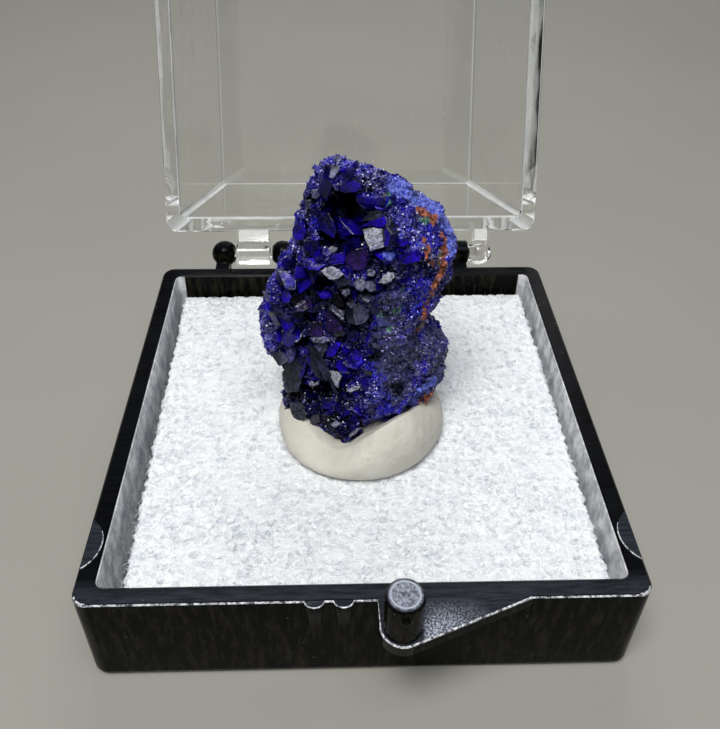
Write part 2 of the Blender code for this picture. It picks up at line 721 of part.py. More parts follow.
def rock_point(angle, height):
    """A point of the specimen's body, in millimetres over the rim."""
    left, right, front, back, ridge = level_values(height)
    cosine = math.cos(angle)
    sine = math.sin(angle)
    power = 2.0 / (FRONT_SQUARENESS if sine < 0 else BACK_SQUARENESS)
    reach = right - ridge if cosine > 0 else ridge - left
    across = math.copysign(abs(cosine) ** power, cosine) * reach
    deep = math.copysign(abs(sine) ** power, sine) * (back if sine > 0 else -front)
    point = Vector((ridge + across, deep, height))
    lump = ROCK_LUMPS * noise.noise(point / ROCK_LUMP_SIZE) + FACET_JITTER * noise.noise(point / FACET_GRAIN)
    outward = Vector((across, deep * DEPTH_WEIGHT, 0.0)).normalized()
    point += outward * lump
    if sine < 0:
        point.y += pocket_depth(point.x, height) * min(1.0, -sine * 2.0)
    return point


def rock_body(material):
    """The body that the crystals grow on."""
    heights = []
    for lower, upper in zip(SPECIMEN_LEVELS, SPECIMEN_LEVELS[1:]):
        for step in range(LEVEL_STEPS):
            heights.append(lower[0] + (upper[0] - lower[0]) * step / LEVEL_STEPS)
    heights.append(SPECIMEN_LEVELS[-1][0])
    rings = []
    for height in heights:
        ring = [rock_point(math.tau * side / AROUND, height) for side in range(AROUND)]
        rings.append([Vector((point.x * MM, point.y * MM, BASE_HEIGHT + point.z * MM)) for point in ring])
    body = skinned_object("azurite_specimen", rings, material)
    tidy_mesh(body)
    return body


def crystal(length, width, thickness, place, wedge=0.25):
    """A tabular crystal on its root: six sides and a chisel end. Its length is +Z, its face +Y."""
    half_w = width / 2
    half_t = thickness / 2
    flat = half_w * FLAT_SHARE
    ring = ((half_w, 0.0), (flat, half_t), (-flat, half_t), (-half_w, 0.0), (-flat, -half_t), (flat, -half_t))
    bm = bmesh.new()
    points = [Vector((x, y, z)) for z in (0.0, length * (1.0 - wedge)) for x, y in ring]
    points += [Vector((half_w * share, half_t * EDGE_THICKNESS, length)) for share in EDGE_SHARES]
    for point in points:
        bm.verts.new(point)
    bmesh.ops.convex_hull(bm, input=bm.verts)
    bmesh.ops.transform(bm, matrix=place, verts=bm.verts)
    return new_object("crystal", bm)


def frame_of(length_axis, face_axis, origin):
    """A matrix that turns +Z to the length axis and +Y towards the face axis."""
    up = length_axis.normalized()
    face = (face_axis - up * face_axis.dot(up)).normalized()
    side = face.cross(up)
    turn = Matrix((side, face, up)).transposed().to_4x4()
    return Matrix.Translation(origin) @ turn


def surface_at(tree, x, height):
    """The front surface at a place, with the way it faces."""
    start = Vector((x * MM, -BOX_HALF, BASE_HEIGHT + height * MM))
    point, normal, _, _ = tree.ray_cast(start, Vector((0.0, 1.0, 0.0)))
    return point, normal


def large_crystals(tree):
    """The crystals that can be told apart in the pocket, each placed by its visible face."""
    pieces = []
    for x, height, length, width, turn, facing, proud in LARGE_CRYSTALS:
        point, _ = surface_at(tree, x, height)
        if point is None:
            continue
        face = Vector(facing).normalized()
        across = Vector((0.0, 0.0, 1.0)).cross(face).normalized()
        rise = face.cross(across)
        angle = math.radians(turn)
        run = rise * math.sin(angle) - across * math.cos(angle)
        depth = LARGE_ROOT * MM
        front = point + Vector((0.0, -proud * MM, 0.0))
        origin = front - face * depth / 2 - run * length * MM * LARGE_SUNK
        place = frame_of(run, face, origin)
        pieces.append(crystal(length * MM * LARGE_STRETCH, width * MM, depth, place, LARGE_WEDGE))
    return pieces


def leaning(normal, rng, spread):
    """A direction near the surface's own, turned aside by chance."""
    side = Vector((rng.uniform(-1, 1), rng.uniform(-1, 1), rng.uniform(-1, 1)))
    return (normal + side * spread).normalized()


def pocket_blades(tree):
    """Smaller blades that fill the pocket between the large crystals."""
    rng = random.Random(BLADE_SEED)
    pieces = []
    while len(pieces) < POCKET_BLADES:
        centre_x, centre_z, half_x, half_z, _ = rng.choice(POCKETS)
        x = centre_x + half_x * rng.uniform(-POCKET_REACH, POCKET_REACH)
        height = centre_z + half_z * rng.uniform(-POCKET_REACH, POCKET_REACH)
        point, normal = surface_at(tree, x, height)
        if point is None or pocket_depth(x, height) < POCKET_LEAST:
            continue
        up = leaning(normal, rng, BLADE_SPREAD)
        face = leaning(Vector((0.0, -0.2, 1.0)), rng, BLADE_FACE_SPREAD)
        length = rng.uniform(*BLADE_LENGTH) * MM
        width = rng.uniform(*BLADE_WIDTH) * MM
        thickness = rng.uniform(*BLADE_THICKNESS) * MM
        pieces.append(crystal(length, width, thickness, frame_of(up, face, point - up * length * BLADE_SUNK)))
    return pieces


def crust_crystals(tree):
    """The coarser crystals of the crust all round, in rows that climb the body."""
    rng = random.Random(CRUST_SEED)
    low = SPECIMEN_LEVELS[1][0]
    high = SPECIMEN_LEVELS[-1][0]
    pieces = []
    while len(pieces) < CRUST_CRYSTALS:
        angle = rng.uniform(0.0, math.tau)
        height = rng.uniform(low, high)
        guess = rock_point(angle, height)
        place = Vector((guess.x * MM, guess.y * MM, BASE_HEIGHT + height * MM))
        point, normal, _, _ = tree.find_nearest(place)
        if math.sin(angle) < 0 and pocket_depth(guess.x, height) > CRUST_POCKET_LIMIT:
            continue
        size = rng.uniform(*CRUST_SIZE) * MM
        up = leaning(normal, rng, CRUST_SPREAD)
        face = leaning(Vector((0.0, 0.0, 1.0)), rng, BLADE_FACE_SPREAD)
        root = frame_of(up, face, point - up * size * CRUST_SUNK)
        thickness = size * rng.uniform(*CRUST_THICKNESS)
        pieces.append(crystal(size * CRUST_LENGTH, size, thickness, root, CRUST_WEDGE))
    return pieces


def azurite_specimen(material):
    """The specimen as one solid: body, large crystals, blades and crust grown together."""
    body = rock_body(material)
    bm = bmesh.new()
    bm.from_mesh(body.data)
    tree = BVHTree.FromBMesh(bm)
    bm.free()
    combine(body, large_crystals(tree) + pocket_blades(tree) + crust_crystals(tree))
    tidy_mesh(body)
    keep_outer_shell(body)
    return body


def build():
    """Make every piece."""
    clear_scene()
    black = finish_material("black_plastic", (0.012, 0.013, 0.016), 0.22)
    clear = finish_material("clear_plastic", (0.86, 0.88, 0.87), 0.06)
    white = finish_material("white_foam", (0.84, 0.86, 0.88), 0.85)
    cream = finish_material("cream_putty", (0.78, 0.76, 0.7), 0.8)
    blue = finish_material("azurite_blue", (0.02, 0.02, 0.16), 0.3)
    box_base(black)
    box_lid(clear)
    foam_pad(white)
    specimen = azurite_specimen(blue)
    press_in(putty_blob(cream), specimen, BASE_HEIGHT + PUTTY_SOCKET_TOP)


build()
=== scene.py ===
"""Looks of the azurite specimen on its putty, in the foam-lined box with its clear lid laid back.

Lengths are written in millimetres and multiplied by MM. Heights of the specimen are counted from the
rim of the box. Places given as picture points are (column, row) in the 720 by 729 picture.
"""
import contextlib
import math
import random

import bmesh
import bpy
import numpy as np
from mathutils import Matrix, Vector, noise
from mathutils.bvhtree import BVHTree


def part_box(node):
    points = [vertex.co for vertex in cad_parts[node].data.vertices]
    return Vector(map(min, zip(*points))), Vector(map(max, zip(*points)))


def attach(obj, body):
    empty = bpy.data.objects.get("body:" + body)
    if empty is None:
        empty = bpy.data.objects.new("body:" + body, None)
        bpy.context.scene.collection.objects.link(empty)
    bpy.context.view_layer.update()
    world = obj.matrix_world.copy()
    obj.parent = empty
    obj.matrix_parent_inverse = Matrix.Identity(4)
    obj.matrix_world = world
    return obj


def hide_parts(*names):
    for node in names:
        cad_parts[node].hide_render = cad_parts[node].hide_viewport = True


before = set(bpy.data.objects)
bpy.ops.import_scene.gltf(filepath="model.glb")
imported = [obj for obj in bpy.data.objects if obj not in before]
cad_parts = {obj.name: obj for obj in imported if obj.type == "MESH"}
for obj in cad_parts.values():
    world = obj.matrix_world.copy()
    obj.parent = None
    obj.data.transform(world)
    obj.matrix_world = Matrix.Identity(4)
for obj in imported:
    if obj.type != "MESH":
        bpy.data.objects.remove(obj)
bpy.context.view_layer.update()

MM = 0.001

# Noise that starts the same way at each run
NOISE_SEED = 5
noise.seed_set(NOISE_SEED)

# Camera: where it stands, how it is turned in degrees, its focal length and level row in picture points
PICTURE = (720, 729)
EYE = Vector((-2.80, -73.53, 82.93)) * MM
LOOK_DOWN = 36.743
LOOK_RIGHT = -2.275
LOOK_ROLL = 0.935
FOCAL = 807.3
AXIS_ROW = 300.0
SENSOR = 36.0

# Soft lamps: name, what it shines at, the way from there to the lamp, distance, side, power in watts, colour
SPECIMEN_HEART = Vector((0.0, -2.0, 31.0)) * MM
BEHIND_LID = Vector((0.0, 110.0, 0.0)) * MM
LAMPS = (
    ("key", SPECIMEN_HEART, Vector((-0.20, -0.37, 0.90)).normalized(), 0.46, 0.16, 1.36, (1.0, 0.985, 0.96)),
    ("overhead", SPECIMEN_HEART, Vector((0.05, -0.36, 1.0)), 0.6, 0.42, 1.82, (0.95, 0.97, 1.0)),
    ("behind", BEHIND_LID, Vector((0.1, 0.75, 1.0)), 0.5, 0.3, 0.62, (1.0, 1.0, 1.0)),
)

# Room: its dim grey, the pale background that the camera sees, and half the width of the tabletop
ROOM_GREY = (0.05, 0.051, 0.055)
BACKGROUND = (0.80, 0.80, 0.79)
TABLE_HALF = 0.8

# Box: its rim, which the specimen's heights are counted from, and its walls, thumb tab and post
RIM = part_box("box_base")[0].z + 13.0 * MM
FLOOR_LEVEL = -0.02 * MM
INNER_HALF = 26.4 * MM
BOX_HALF = 28.5 * MM
TAB_FRONT = -28.6 * MM
POST_RIGHT = 5.2 * MM
POST_TOP = RIM + 4.99 * MM
POST_TOP_CENTRE = (3.45 * MM, -31.15 * MM, RIM + 5.0 * MM)
TAB_HIGHLIGHT_CENTRE = (6.2 * MM, -31.7 * MM, RIM)

# Painted light on the black plastic: the tab's frost and painted highlight fade away from a centre, the post's
# painted highlight ring fades in and out with the distance from its axis, and the foam's painted reflection inside
# starts at a depth under the rim
TAB_HIGHLIGHT_FADE = (6.2 * MM, 0.6 * MM)
POST_HIGHLIGHT_RING = ((1.22 * MM, 1.32 * MM), (1.50 * MM, 1.42 * MM))
FOAM_REFLECTION_FROM = 0.12 * MM
FOAM_REFLECTION_FULL = 0.18 * MM

# Specimen body: height over the rim, left, right, front, back, place of the front ridge
LEVELS = np.array((
    (-1.3, -5.0, 2.4, -6.4, 2.0, -1.5),
    (0.0, -9.5, 5.8, -6.8, 4.0, -1.3),
    (1.4, -8.6, 8.4, -6.8, 5.2, -0.9),
    (4.0, -8.7, 10.2, -6.6, 6.4, 0.2),
    (7.0, -9.6, 10.2, -6.4, 6.8, 1.2),
    (9.8, -11.4, 9.8, -6.3, 7.0, 1.8),
    (12.8, -11.6, 8.0, -6.2, 6.9, 2.4),
    (14.6, -11.0, 7.6, -6.1, 6.8, 2.8),
    (17.0, -10.2, 9.2, -6.0, 6.6, 3.0),
    (20.0, -8.2, 10.7, -5.9, 6.4, 3.0),
    (23.0, -6.8, 10.5, -5.7, 6.0, 2.6),
    (26.0, -6.6, 8.4, -5.4, 5.4, 2.0),
    (28.6, -5.8, 4.6, -4.8, 4.7, 1.0),
    (30.4, -4.6, 3.2, -3.8, 3.6, -0.4),
    (31.5, -4.8, -0.4, -2.6, 2.4, -1.8),
    (32.0, -4.0, -2.2, -1.3, 1.0, -2.8),
))
BODY_AROUND = 340
BODY_UP = 236
FRONT_SQUARENESS = 1.75
BACK_SQUARENESS = 2.3
LUMPS = 0.8
LUMP_SIZE = 3.2
DEPTH_WEIGHT = 1.6

# Painted shade on the foot at the left, where the specimen leans over the putty: how dark, and where it ends and how
# softly
FOOT_DARK = 0.62
FOOT_TOP = (5.6, 2.4)
FOOT_RIGHT = (1.5, 2.5)

# Open pockets: centre across, centre height, half width, half height, depth
POCKETS = (
    (-3.8, 10.5, 6.4, 12.0, 2.3),
    (-1.3, 26.4, 3.6, 4.6, 3.6),
    (-4.8, 4.0, 3.2, 3.6, 2.4),
    (4.2, -0.2, 5.2, 3.4, 1.3),
)
POCKET_STEEPNESS = 2.2

# Facets that cover the body: cell size and how steeply a facet tilts
FACET_LAYERS = ((2.1, 0.22), (0.85, 0.34), (0.36, 0.44))

# Ways in which a crystal face looks
GLEAM = Vector((-0.12, -0.61, 0.78))
UP = Vector((0.05, -0.45, 0.90))
FRONT = Vector((0.0, -0.95, 0.30))
LEFT = Vector((-0.62, -0.72, 0.30))
RIGHT = Vector((0.58, -0.76, 0.28))
DOWN = Vector((0.0, -0.92, -0.10))

# Visible crystal faces: way it looks, how far it stands out, turn of its growth lines, its corners
FACES = {
    "gleam": (
        (GLEAM, 1.2, 35, (362, 229), (372, 227), (385, 229), (384, 247), (376, 249), (371, 251), (366, 242)),
        (GLEAM, 1.1, 20, (321, 271), (325, 267.5), (332, 266.5), (339, 269), (344, 274), (339, 278),
         (333, 280), (329, 279)),
        (GLEAM, 0.9, 60, (378, 283), (383, 276), (388, 271.5), (394, 272.5), (395, 277), (391, 281),
         (386, 283.5)),
        (GLEAM, 0.5, 30, (293, 339), (298, 334), (303, 332.5), (300, 339), (296, 342.5)),
        (GLEAM, 0.9, 70, (327, 369.5), (339, 372), (342, 376), (340, 381), (338, 388), (334, 383),
         (329, 375)),
        (GLEAM, 0.5, 0, (308, 382), (311, 380), (314, 383), (318, 381), (319, 384), (314, 386), (310, 386)),
        (GLEAM, 0.5, 0, (328, 248), (333, 245), (338, 248), (335, 252), (329, 253)),
        (GLEAM, 0.4, 0, (346, 391), (352, 387), (361, 386), (357, 390), (350, 392)),
    ),
    "grey": (
        (UP, 0.6, 80, (331, 166), (340, 165), (338, 172), (333, 178), (329, 176)),
        (UP, 0.6, 80, (334, 158), (337, 155.5), (342, 158), (340, 161), (335, 161)),
        (FRONT, 0.4, 70, (312, 191), (318, 189), (320, 196), (316, 199), (312, 198)),
        (FRONT, 0.4, 70, (305, 201), (311, 200), (313, 207), (307, 209)),
        (UP, 0.9, 60, (354, 282), (357, 278), (362, 277), (365, 281), (366, 287), (362, 291), (357, 289)),
        (UP, 0.7, 80, (367, 281), (371, 280), (376, 285), (376, 290), (370, 291), (366, 288)),
        (UP, 0.6, 60, (361, 292), (365, 291), (371, 292), (371, 298), (367, 303), (363, 300)),
        (UP, 0.6, 30, (367, 270), (372, 269), (376, 272), (374, 276), (368, 276)),
        (UP, 0.7, 40, (346, 303), (351, 299), (356, 302), (355, 305), (352, 308), (348, 305)),
        (FRONT, 0.8, 75, (353, 308), (358, 303), (362, 304), (367, 309), (369, 316), (365, 322), (357, 325),
         (354, 318)),
        (UP, 0.9, -45, (329, 305), (333, 304), (340, 309), (344, 311), (344, 319), (342, 320), (335, 314),
         (329, 309)),
        (UP, 0.5, 30, (343, 289), (349, 287), (350, 293), (346, 297), (342, 293)),
        (UP, 0.4, 20, (310, 338), (318, 336), (328, 336), (330, 341), (324, 343), (313, 342)),
        (FRONT, 0.5, 60, (314, 343), (327, 342), (326, 351), (322, 358), (318, 353), (314, 347)),
        (LEFT, 0.5, 80, (271, 352), (279, 351), (286, 356), (288, 360), (283, 364), (279, 366), (274, 359)),
        (UP, 0.1, 40, (349, 434), (357, 428), (362, 427), (355, 434), (350, 438)),
        (UP, 0.0, 20, (330, 424), (337, 420), (341, 423), (336, 428)),
    ),
    "slate": (
        (FRONT, 0.6, 30, (363, 221), (370, 212), (380, 209), (386, 213), (384, 217), (372, 221)),
        (FRONT, 0.4, 40, (338, 280), (345, 277), (350, 277), (351, 283), (345, 286), (339, 284)),
        (LEFT, 0.6, 75, (346, 309), (353, 308), (354, 318), (356, 325), (348, 322), (345, 315)),
        (LEFT, 0.3, 86, (285, 358), (297, 357), (301, 365), (301, 380), (298, 392), (285, 392), (283, 378),
         (284, 366)),
        (FRONT, 0.4, -60, (311, 352), (315, 354), (319, 366), (320, 378), (315, 376), (311, 364)),
        (LEFT, 0.4, 40, (288, 402), (300, 403), (305, 408), (300, 413), (291, 412)),
        (LEFT, 0.4, 20, (291, 413), (303, 410), (307, 414), (303, 420), (296, 421)),
        (DOWN, 0.1, 70, (312, 416), (319, 414), (320, 422), (315, 425), (311, 423)),
        (FRONT, 0.3, 20, (333, 333), (340, 330), (345, 332), (344, 336), (336, 337)),
        (RIGHT, 0.7, -64, (314, 346), (317, 349), (323, 358), (330, 372), (337, 390), (339, 394), (334, 391),
         (325, 371)),
        (RIGHT, 0.9, -64, (309, 347), (313, 346), (326, 372), (329, 380), (326, 381), (316, 362)),
        (LEFT, 0.2, 60, (355, 209), (361, 212), (368, 207), (371, 201), (365, 202), (359, 206)),
    ),
    "vivid": (
        (LEFT, 0.4, 60, (293, 227), (299, 223), (304, 224), (305, 232), (303, 240), (296, 241), (292, 236)),
        (DOWN, 0.3, 0, (340, 189), (345, 184), (353, 181), (361, 184), (362, 190), (354, 192), (345, 193)),
        (FRONT, 0.9, 30, (360, 227), (370, 222), (384, 217), (387, 224), (385, 228), (373, 226)),
        (RIGHT, 0.9, 80, (386, 226), (390, 236), (388, 246), (385, 246)),
        (FRONT, 0.3, 30, (399, 239), (406, 238), (410, 243), (404, 247), (399, 245)),
        (FRONT, 0.5, 85, (399, 257), (408, 252), (418, 250), (422, 254), (419, 261), (407, 265), (400, 262)),
        (FRONT, 0.5, 10, (330, 256), (345, 252), (346, 259), (344, 264), (333, 265), (326, 262)),
        (UP, 0.4, 10, (316, 291), (330, 291), (332, 297), (322, 298)),
        (LEFT, 0.4, 60, (283, 290), (288, 290), (291, 297), (288, 303), (283, 303), (281, 297)),
        (FRONT, 0.6, -50, (327, 351), (331, 345), (338, 342), (341, 345), (338, 350), (333, 357), (327, 356)),
        (FRONT, 0.4, 60, (307, 357), (310, 356), (311, 362), (308, 363)),
        (UP, 0.7, -10, (303, 262), (306, 257), (313, 257), (320, 260), (325, 265), (318, 270), (309, 269),
         (303, 266)),
    ),
    "deep": (
        (LEFT, 0.6, 70, (305, 215), (312, 210), (320, 210), (328, 213), (333, 222), (336, 232), (333, 238),
         (322, 230), (310, 232), (305, 226)),
        (FRONT, 0.2, 70, (304, 241), (318, 240), (320, 250), (316, 256), (305, 255)),
        (FRONT, 0.3, 40, (325, 191), (336, 190), (340, 196), (336, 206), (326, 204)),
        (FRONT, 0.4, 50, (338, 246), (350, 240), (358, 236), (362, 246), (353, 250), (347, 256), (340, 252)),
        (FRONT, 0.3, 40, (293, 312), (302, 312), (304, 318), (300, 324), (293, 321)),
        (FRONT, 0.6, 20, (348, 333), (354, 329), (360, 333), (358, 340), (352, 342), (347, 339)),
        (LEFT, 0.2, 80, (297, 357), (304, 352), (308, 360), (304, 372), (301, 379)),
        (FRONT, 0.3, 60, (322, 398), (333, 398), (338, 404), (330, 410), (321, 408)),
        (RIGHT, 0.1, 60, (389, 236), (397, 233), (401, 240), (396, 247), (388, 246)),
    ),
    "purple": (
        (FRONT, 0.9, 20, (349, 253), (355, 250), (363, 248), (368, 252), (369, 262), (366, 269), (352, 271),
         (347, 266), (346, 258)),
        (UP, 0.7, 20, (297, 303), (305, 299), (311, 302), (312, 307), (304, 311), (296, 311), (294, 307)),
        (FRONT, 0.3, 60, (313, 322), (322, 323), (324, 330), (321, 338), (312, 336), (309, 332)),
        (FRONT, 0.3, 60, (326, 322), (335, 318), (341, 322), (343, 329), (335, 333), (326, 330)),
        (FRONT, 0.3, 60, (326, 311), (333, 312), (334, 318), (328, 320), (325, 316)),
    ),
    "black": (
        (FRONT, 0.1, -50, (333, 294), (338, 293), (343, 300), (344, 307), (338, 307), (333, 301)),
        (FRONT, 0.2, 30, (293, 296), (303, 292), (306, 293), (300, 299), (292, 302), (290, 300)),
    ),
}
FACE_SEED = 3
FACE_ROOT = 2.6 * MM
FACE_TAPER = 0.92
FACE_NECK = 0.55 * MM
FACE_PROUD = 0.55
FACE_CHAMFER = 0.06
FACE_CHIP = 2.6
FACE_CHIP_DEPTH = 0.55
FACE_CLEAR = 0.2 * MM
FACE_LIFT = 1.5 * MM
FACE_MARGIN = 2.6
FACE_LINES = 0.20 * MM
FACE_LINE_RISE = 0.022 * MM

# Finishes of the faces: dark and bright colour (screen values), roughness, relief of the growth lines,
# cracks, index of refraction, and painted shade that darkens each face towards one side
FINISHES = {
    # The pale grey-lilac colours of the gleam and grey faces are painted reflection, on top of the real highlights
    # from the lamps
    "gleam": ((30, 30, 66), (122, 122, 166), 0.32, 0.6, 0.9, 1.80, 0.2),
    "grey": ((20, 21, 48), (110, 112, 156), 0.32, 0.7, 0.8, 1.62, 0.35),
    "slate": ((8, 10, 22), (60, 64, 98), 0.26, 0.8, 0.7, 1.45, 0.5),
    "vivid": ((10, 2, 90), (46, 12, 226), 0.16, 0.5, 0.3, 1.40, 0.6),
    "deep": ((4, 2, 42), (22, 8, 150), 0.12, 0.4, 0.2, 1.40, 0.8),
    "purple": ((10, 5, 36), (68, 38, 138), 0.16, 0.5, 0.3, 1.45, 0.8),
    "black": ((1, 1, 6), (6, 4, 34), 0.12, 0.3, 0.1, 1.33, 0.6),
}
SIDE_FINISH = ((4, 1, 42), (22, 7, 134), 0.30, 0.5, 0.2, 1.20)

# Blocky crystals' colours, from most to least common: place on the scale from 0 to 1, screen values; the last, pale
# lilac-grey, is a painted sheen
BLOCK_COLOURS = (
    (0.10, (5, 3, 40)), (0.32, (11, 4, 92)), (0.52, (22, 7, 164)), (0.68, (36, 10, 204)), (0.80, (34, 36, 70)),
    (0.90, (92, 88, 158)),
)

# Hollows between the crystals: depth, softness in picture points, corners in the picture
HOLLOWS = (
    (3.6, 5.0, (325, 186), (340, 190), (348, 186), (358, 186), (365, 192), (366, 203), (358, 211), (348, 216),
     (338, 212), (328, 203)),
    (1.6, 4.0, (344, 212), (364, 212), (366, 221), (356, 229), (346, 226)),
    (1.9, 4.0, (318, 229), (330, 233), (338, 240), (334, 248), (320, 246)),
    (1.6, 3.0, (310, 277), (322, 275), (331, 281), (330, 290), (318, 290)),
    (1.7, 3.0, (303, 307), (316, 305), (319, 312), (314, 324), (304, 320)),
    (1.5, 3.0, (333, 293), (341, 291), (347, 298), (345, 308), (336, 306)),
    (1.7, 3.0, (296, 337), (308, 337), (309, 344), (304, 351), (296, 350)),
    (1.2, 4.0, (300, 383), (312, 386), (328, 382), (330, 394), (324, 404), (306, 403)),
    (1.0, 3.0, (366, 351), (382, 350), (383, 363), (367, 364)),
    (0.8, 2.5, (418, 262), (428, 261), (428, 268), (419, 269)),
    (0.9, 2.5, (393, 386), (402, 387), (401, 398), (393, 397)),
    (0.9, 2.5, (418, 372), (428, 373), (427, 384), (419, 383)),
    (0.8, 2.5, (430, 362), (437, 364), (435, 371), (430, 370)),
    (0.8, 2.0, (413, 193), (419, 193), (419, 199), (413, 199)),
    (0.8, 2.0, (404, 201), (411, 200), (412, 208), (405, 209)),
)

# Where large crystals stand on the front, and the fringe of smaller ones round it, as corners in the picture
CRYSTAL_ZONE = (
    (298, 204), (322, 182), (362, 182), (386, 214), (390, 245), (396, 272), (390, 290), (374, 300), (374, 335),
    (362, 352), (346, 392), (330, 408), (290, 400), (278, 360), (286, 330), (272, 300), (286, 265), (298, 240),
)
CRYSTAL_FRINGE = (
    (300, 172), (335, 160), (368, 178), (390, 210), (402, 250), (404, 280), (392, 300), (384, 330), (380, 352),
    (368, 386), (372, 402), (362, 428), (340, 442), (285, 418), (258, 350), (254, 310), (278, 262), (290, 214),
)
FRINGE_SHARE = 0.42
ZONE_SET_BACK = 0.55
ZONE_EDGE = 5.0

# Blocky crystals: tries, widths in mm, how upright they are at least, how thick and long for their width, the
# longest, how much they lean and lift, how far they stand out (mm, and for each mm of width), how far apart
CRYSTAL_SEED = 8
CRYSTAL_TRIES = 4200
CRYSTAL_WIDTH = (0.95, 2.8)
CRYSTAL_UPRIGHT = 0.62
CRYSTAL_THICKNESS = (0.38, 0.85)
CRYSTAL_LENGTH = (1.0, 1.5)
CRYSTAL_LONGEST = 2.8
CRYSTAL_LEAN = 0.62
CRYSTAL_LIFT = (0.0, -0.15, 0.40)
CRYSTAL_PROUD = (0.22, 0.34)
CRYSTAL_APART = 0.74
CRYSTAL_JITTER = 0.07
SMALL_JITTER = 0.15
GLINT_JITTER = 0.06
GROWN_ON_COUNT = 380
GROWN_ON_WIDTH = (0.14, 0.40)

# Crystals that catch the light: half width and picture points of each swarm; then their sizes in mm, how
# much they turn apart, and how likely they are outside and inside the swarms
GLINTS = (
    (5, (267, 328), (283, 343)), (4, (262, 296), (267, 328)), (6, (297, 241), (304, 262)),
    (8, (320, 165), (345, 160), (375, 175)), (5, (300, 195), (306, 215)), (5, (374, 240), (392, 262)),
    (9, (393, 230), (428, 258)), (8, (386, 222), (410, 244)), (5, (385, 270), (410, 300)),
    (5, (345, 228), (352, 240)),
    (5, (327, 248), (340, 255)), (7, (395, 215), (418, 235)), (4, (372, 250), (378, 268)),
    (6, (262, 305), (272, 340)), (5, (318, 335), (330, 346)),
    (5, (330, 262), (352, 262)), (5, (420, 355), (438, 365)), (6, (340, 382), (365, 392)),
    (6, (304, 380), (320, 386)), (5, (285, 396), (300, 400)), (5, (345, 407), (375, 400)),
    (5, (385, 302), (400, 320)), (8, (390, 325), (430, 345)), (5, (312, 236), (322, 243)),
    (4, (348, 345), (360, 340)), (6, (302, 168), (320, 182)), (5, (283, 262), (292, 276)),
)
GLINT_SEED = 12
GLINT_TRIES = 26000
GLINT_SIZE = (0.10, 0.34)
GLINT_SPREAD = 0.24
GLINT_STRAY = 0.07
GLINT_LIKELY = 0.40

# Small crystals of the crust: how many, their lengths and widths in mm, thickness for their width, lean, size
# of the patches that lean alike, share that is sunk, and how few stand where the large crystals are
DRUSE_COUNT = 15000
DRUSE_SEED = 21
DRUSE_LENGTH = (0.22, 0.56)
DRUSE_WIDTH = (0.15, 0.42)
DRUSE_THICKNESS = (0.4, 0.8)
DRUSE_LEAN = 0.34
DRUSE_PATCH = 1.9
DRUSE_TURN = Vector((31.0, 17.0, 5.0))
DRUSE_SUNK = 0.58
DRUSE_SPARED = 0.62
DRUSE_PARTS = 2

# Stains: how far their edges wander, picture points along each stain and its half width in picture points
STAIN_WANDER = 4.0
RUST = (
    (3.8, (422, 211), (428, 215), (434, 221)),
    (3.0, (424, 240), (427, 249), (430, 259)),
    (2.2, (429, 259), (433, 266)),
    (2.9, (443, 236), (444, 248), (444, 262), (441, 273)),
    (3.3, (441, 273), (437, 281), (433, 287)),
    (1.8, (433, 287), (430, 297), (427, 306)),
    (2.2, (426, 308), (424, 319)),
    (1.8, (418, 331), (414, 336)),
    (5.0, (432, 396), (425, 402)),
    (2.2, (458, 233), (459, 240)),
)
CREAM = (
    (2.6, (441, 252), (440, 264)),
    (2.6, (423, 320), (421, 327)),
    (2.0, (420, 328), (415, 334)),
    (2.0, (427, 214), (431, 218)),
)
GREEN = (
    (3.0, (422, 219), (427, 222)),
    (2.8, (401, 288), (402, 291)),
    (3.2, (396, 312), (400, 308)),
    (2.4, (379, 316), (382, 317)),
    (2.4, (389, 331), (393, 329)),
    (1.5, (388, 192), (390, 204)),
)
POWDER = (
    (9.0, (396, 186), (410, 190), (425, 204), (438, 213)),
    (6.0, (440, 216), (449, 228), (452, 250)),
    (4.0, (388, 255), (396, 255)),
    (4.0, (412, 400), (420, 392), (432, 380)),
)
GREY_CRUST = (
    (16.0, (392, 300), (385, 345), (395, 372)),
    (12.0, (412, 345), (400, 395)),
    (10.0, (435, 335), (441, 360), (441, 380)),
)

# Looks of the stains, from the lowest to the uppermost: dark and pale screen values, roughness, strength
STAIN_LOOKS = (
    ("grey_crust", (38, 42, 72), (98, 104, 142), 0.35, 0.74),
    ("powder", (54, 68, 210), (142, 160, 255), 0.6, 0.9),
    ("green", (30, 92, 70), (110, 176, 140), 0.6, 0.85),
    ("cream", (150, 136, 118), (212, 202, 186), 0.6, 0.95),
    ("rust", (96, 34, 14), (212, 122, 70), 0.65, 0.95),
)

# Foam pad: mesh step, rows down its sides, two cell sizes with their depths, raggedness of its edge, and
# how far its front left corner is cut askew, sizes of the ragged edge's two noises and of the slow waves
FOAM_STEP = 0.178
FOAM_EDGE_ROWS = 8
FOAM_CELL = 1.05
FOAM_SMALL_CELL = 0.5
FOAM_PIT = 0.34
FOAM_SMALL_PIT = 0.14
FOAM_RAGGED = 0.42
FOAM_SKEW = 0.7
FOAM_WAVES = (0.8, 0.33, 9.0)

# Strands of the foam's cell walls: how many, length, half thickness, arch
STRAND_COUNT = 7500
STRAND_SEED = 4
STRAND_LENGTH = (0.45, 1.15)
STRAND_THICK = (0.018, 0.034)
STRAND_ARCH = (0.05, 0.22)
STRAND_STEPS = 4

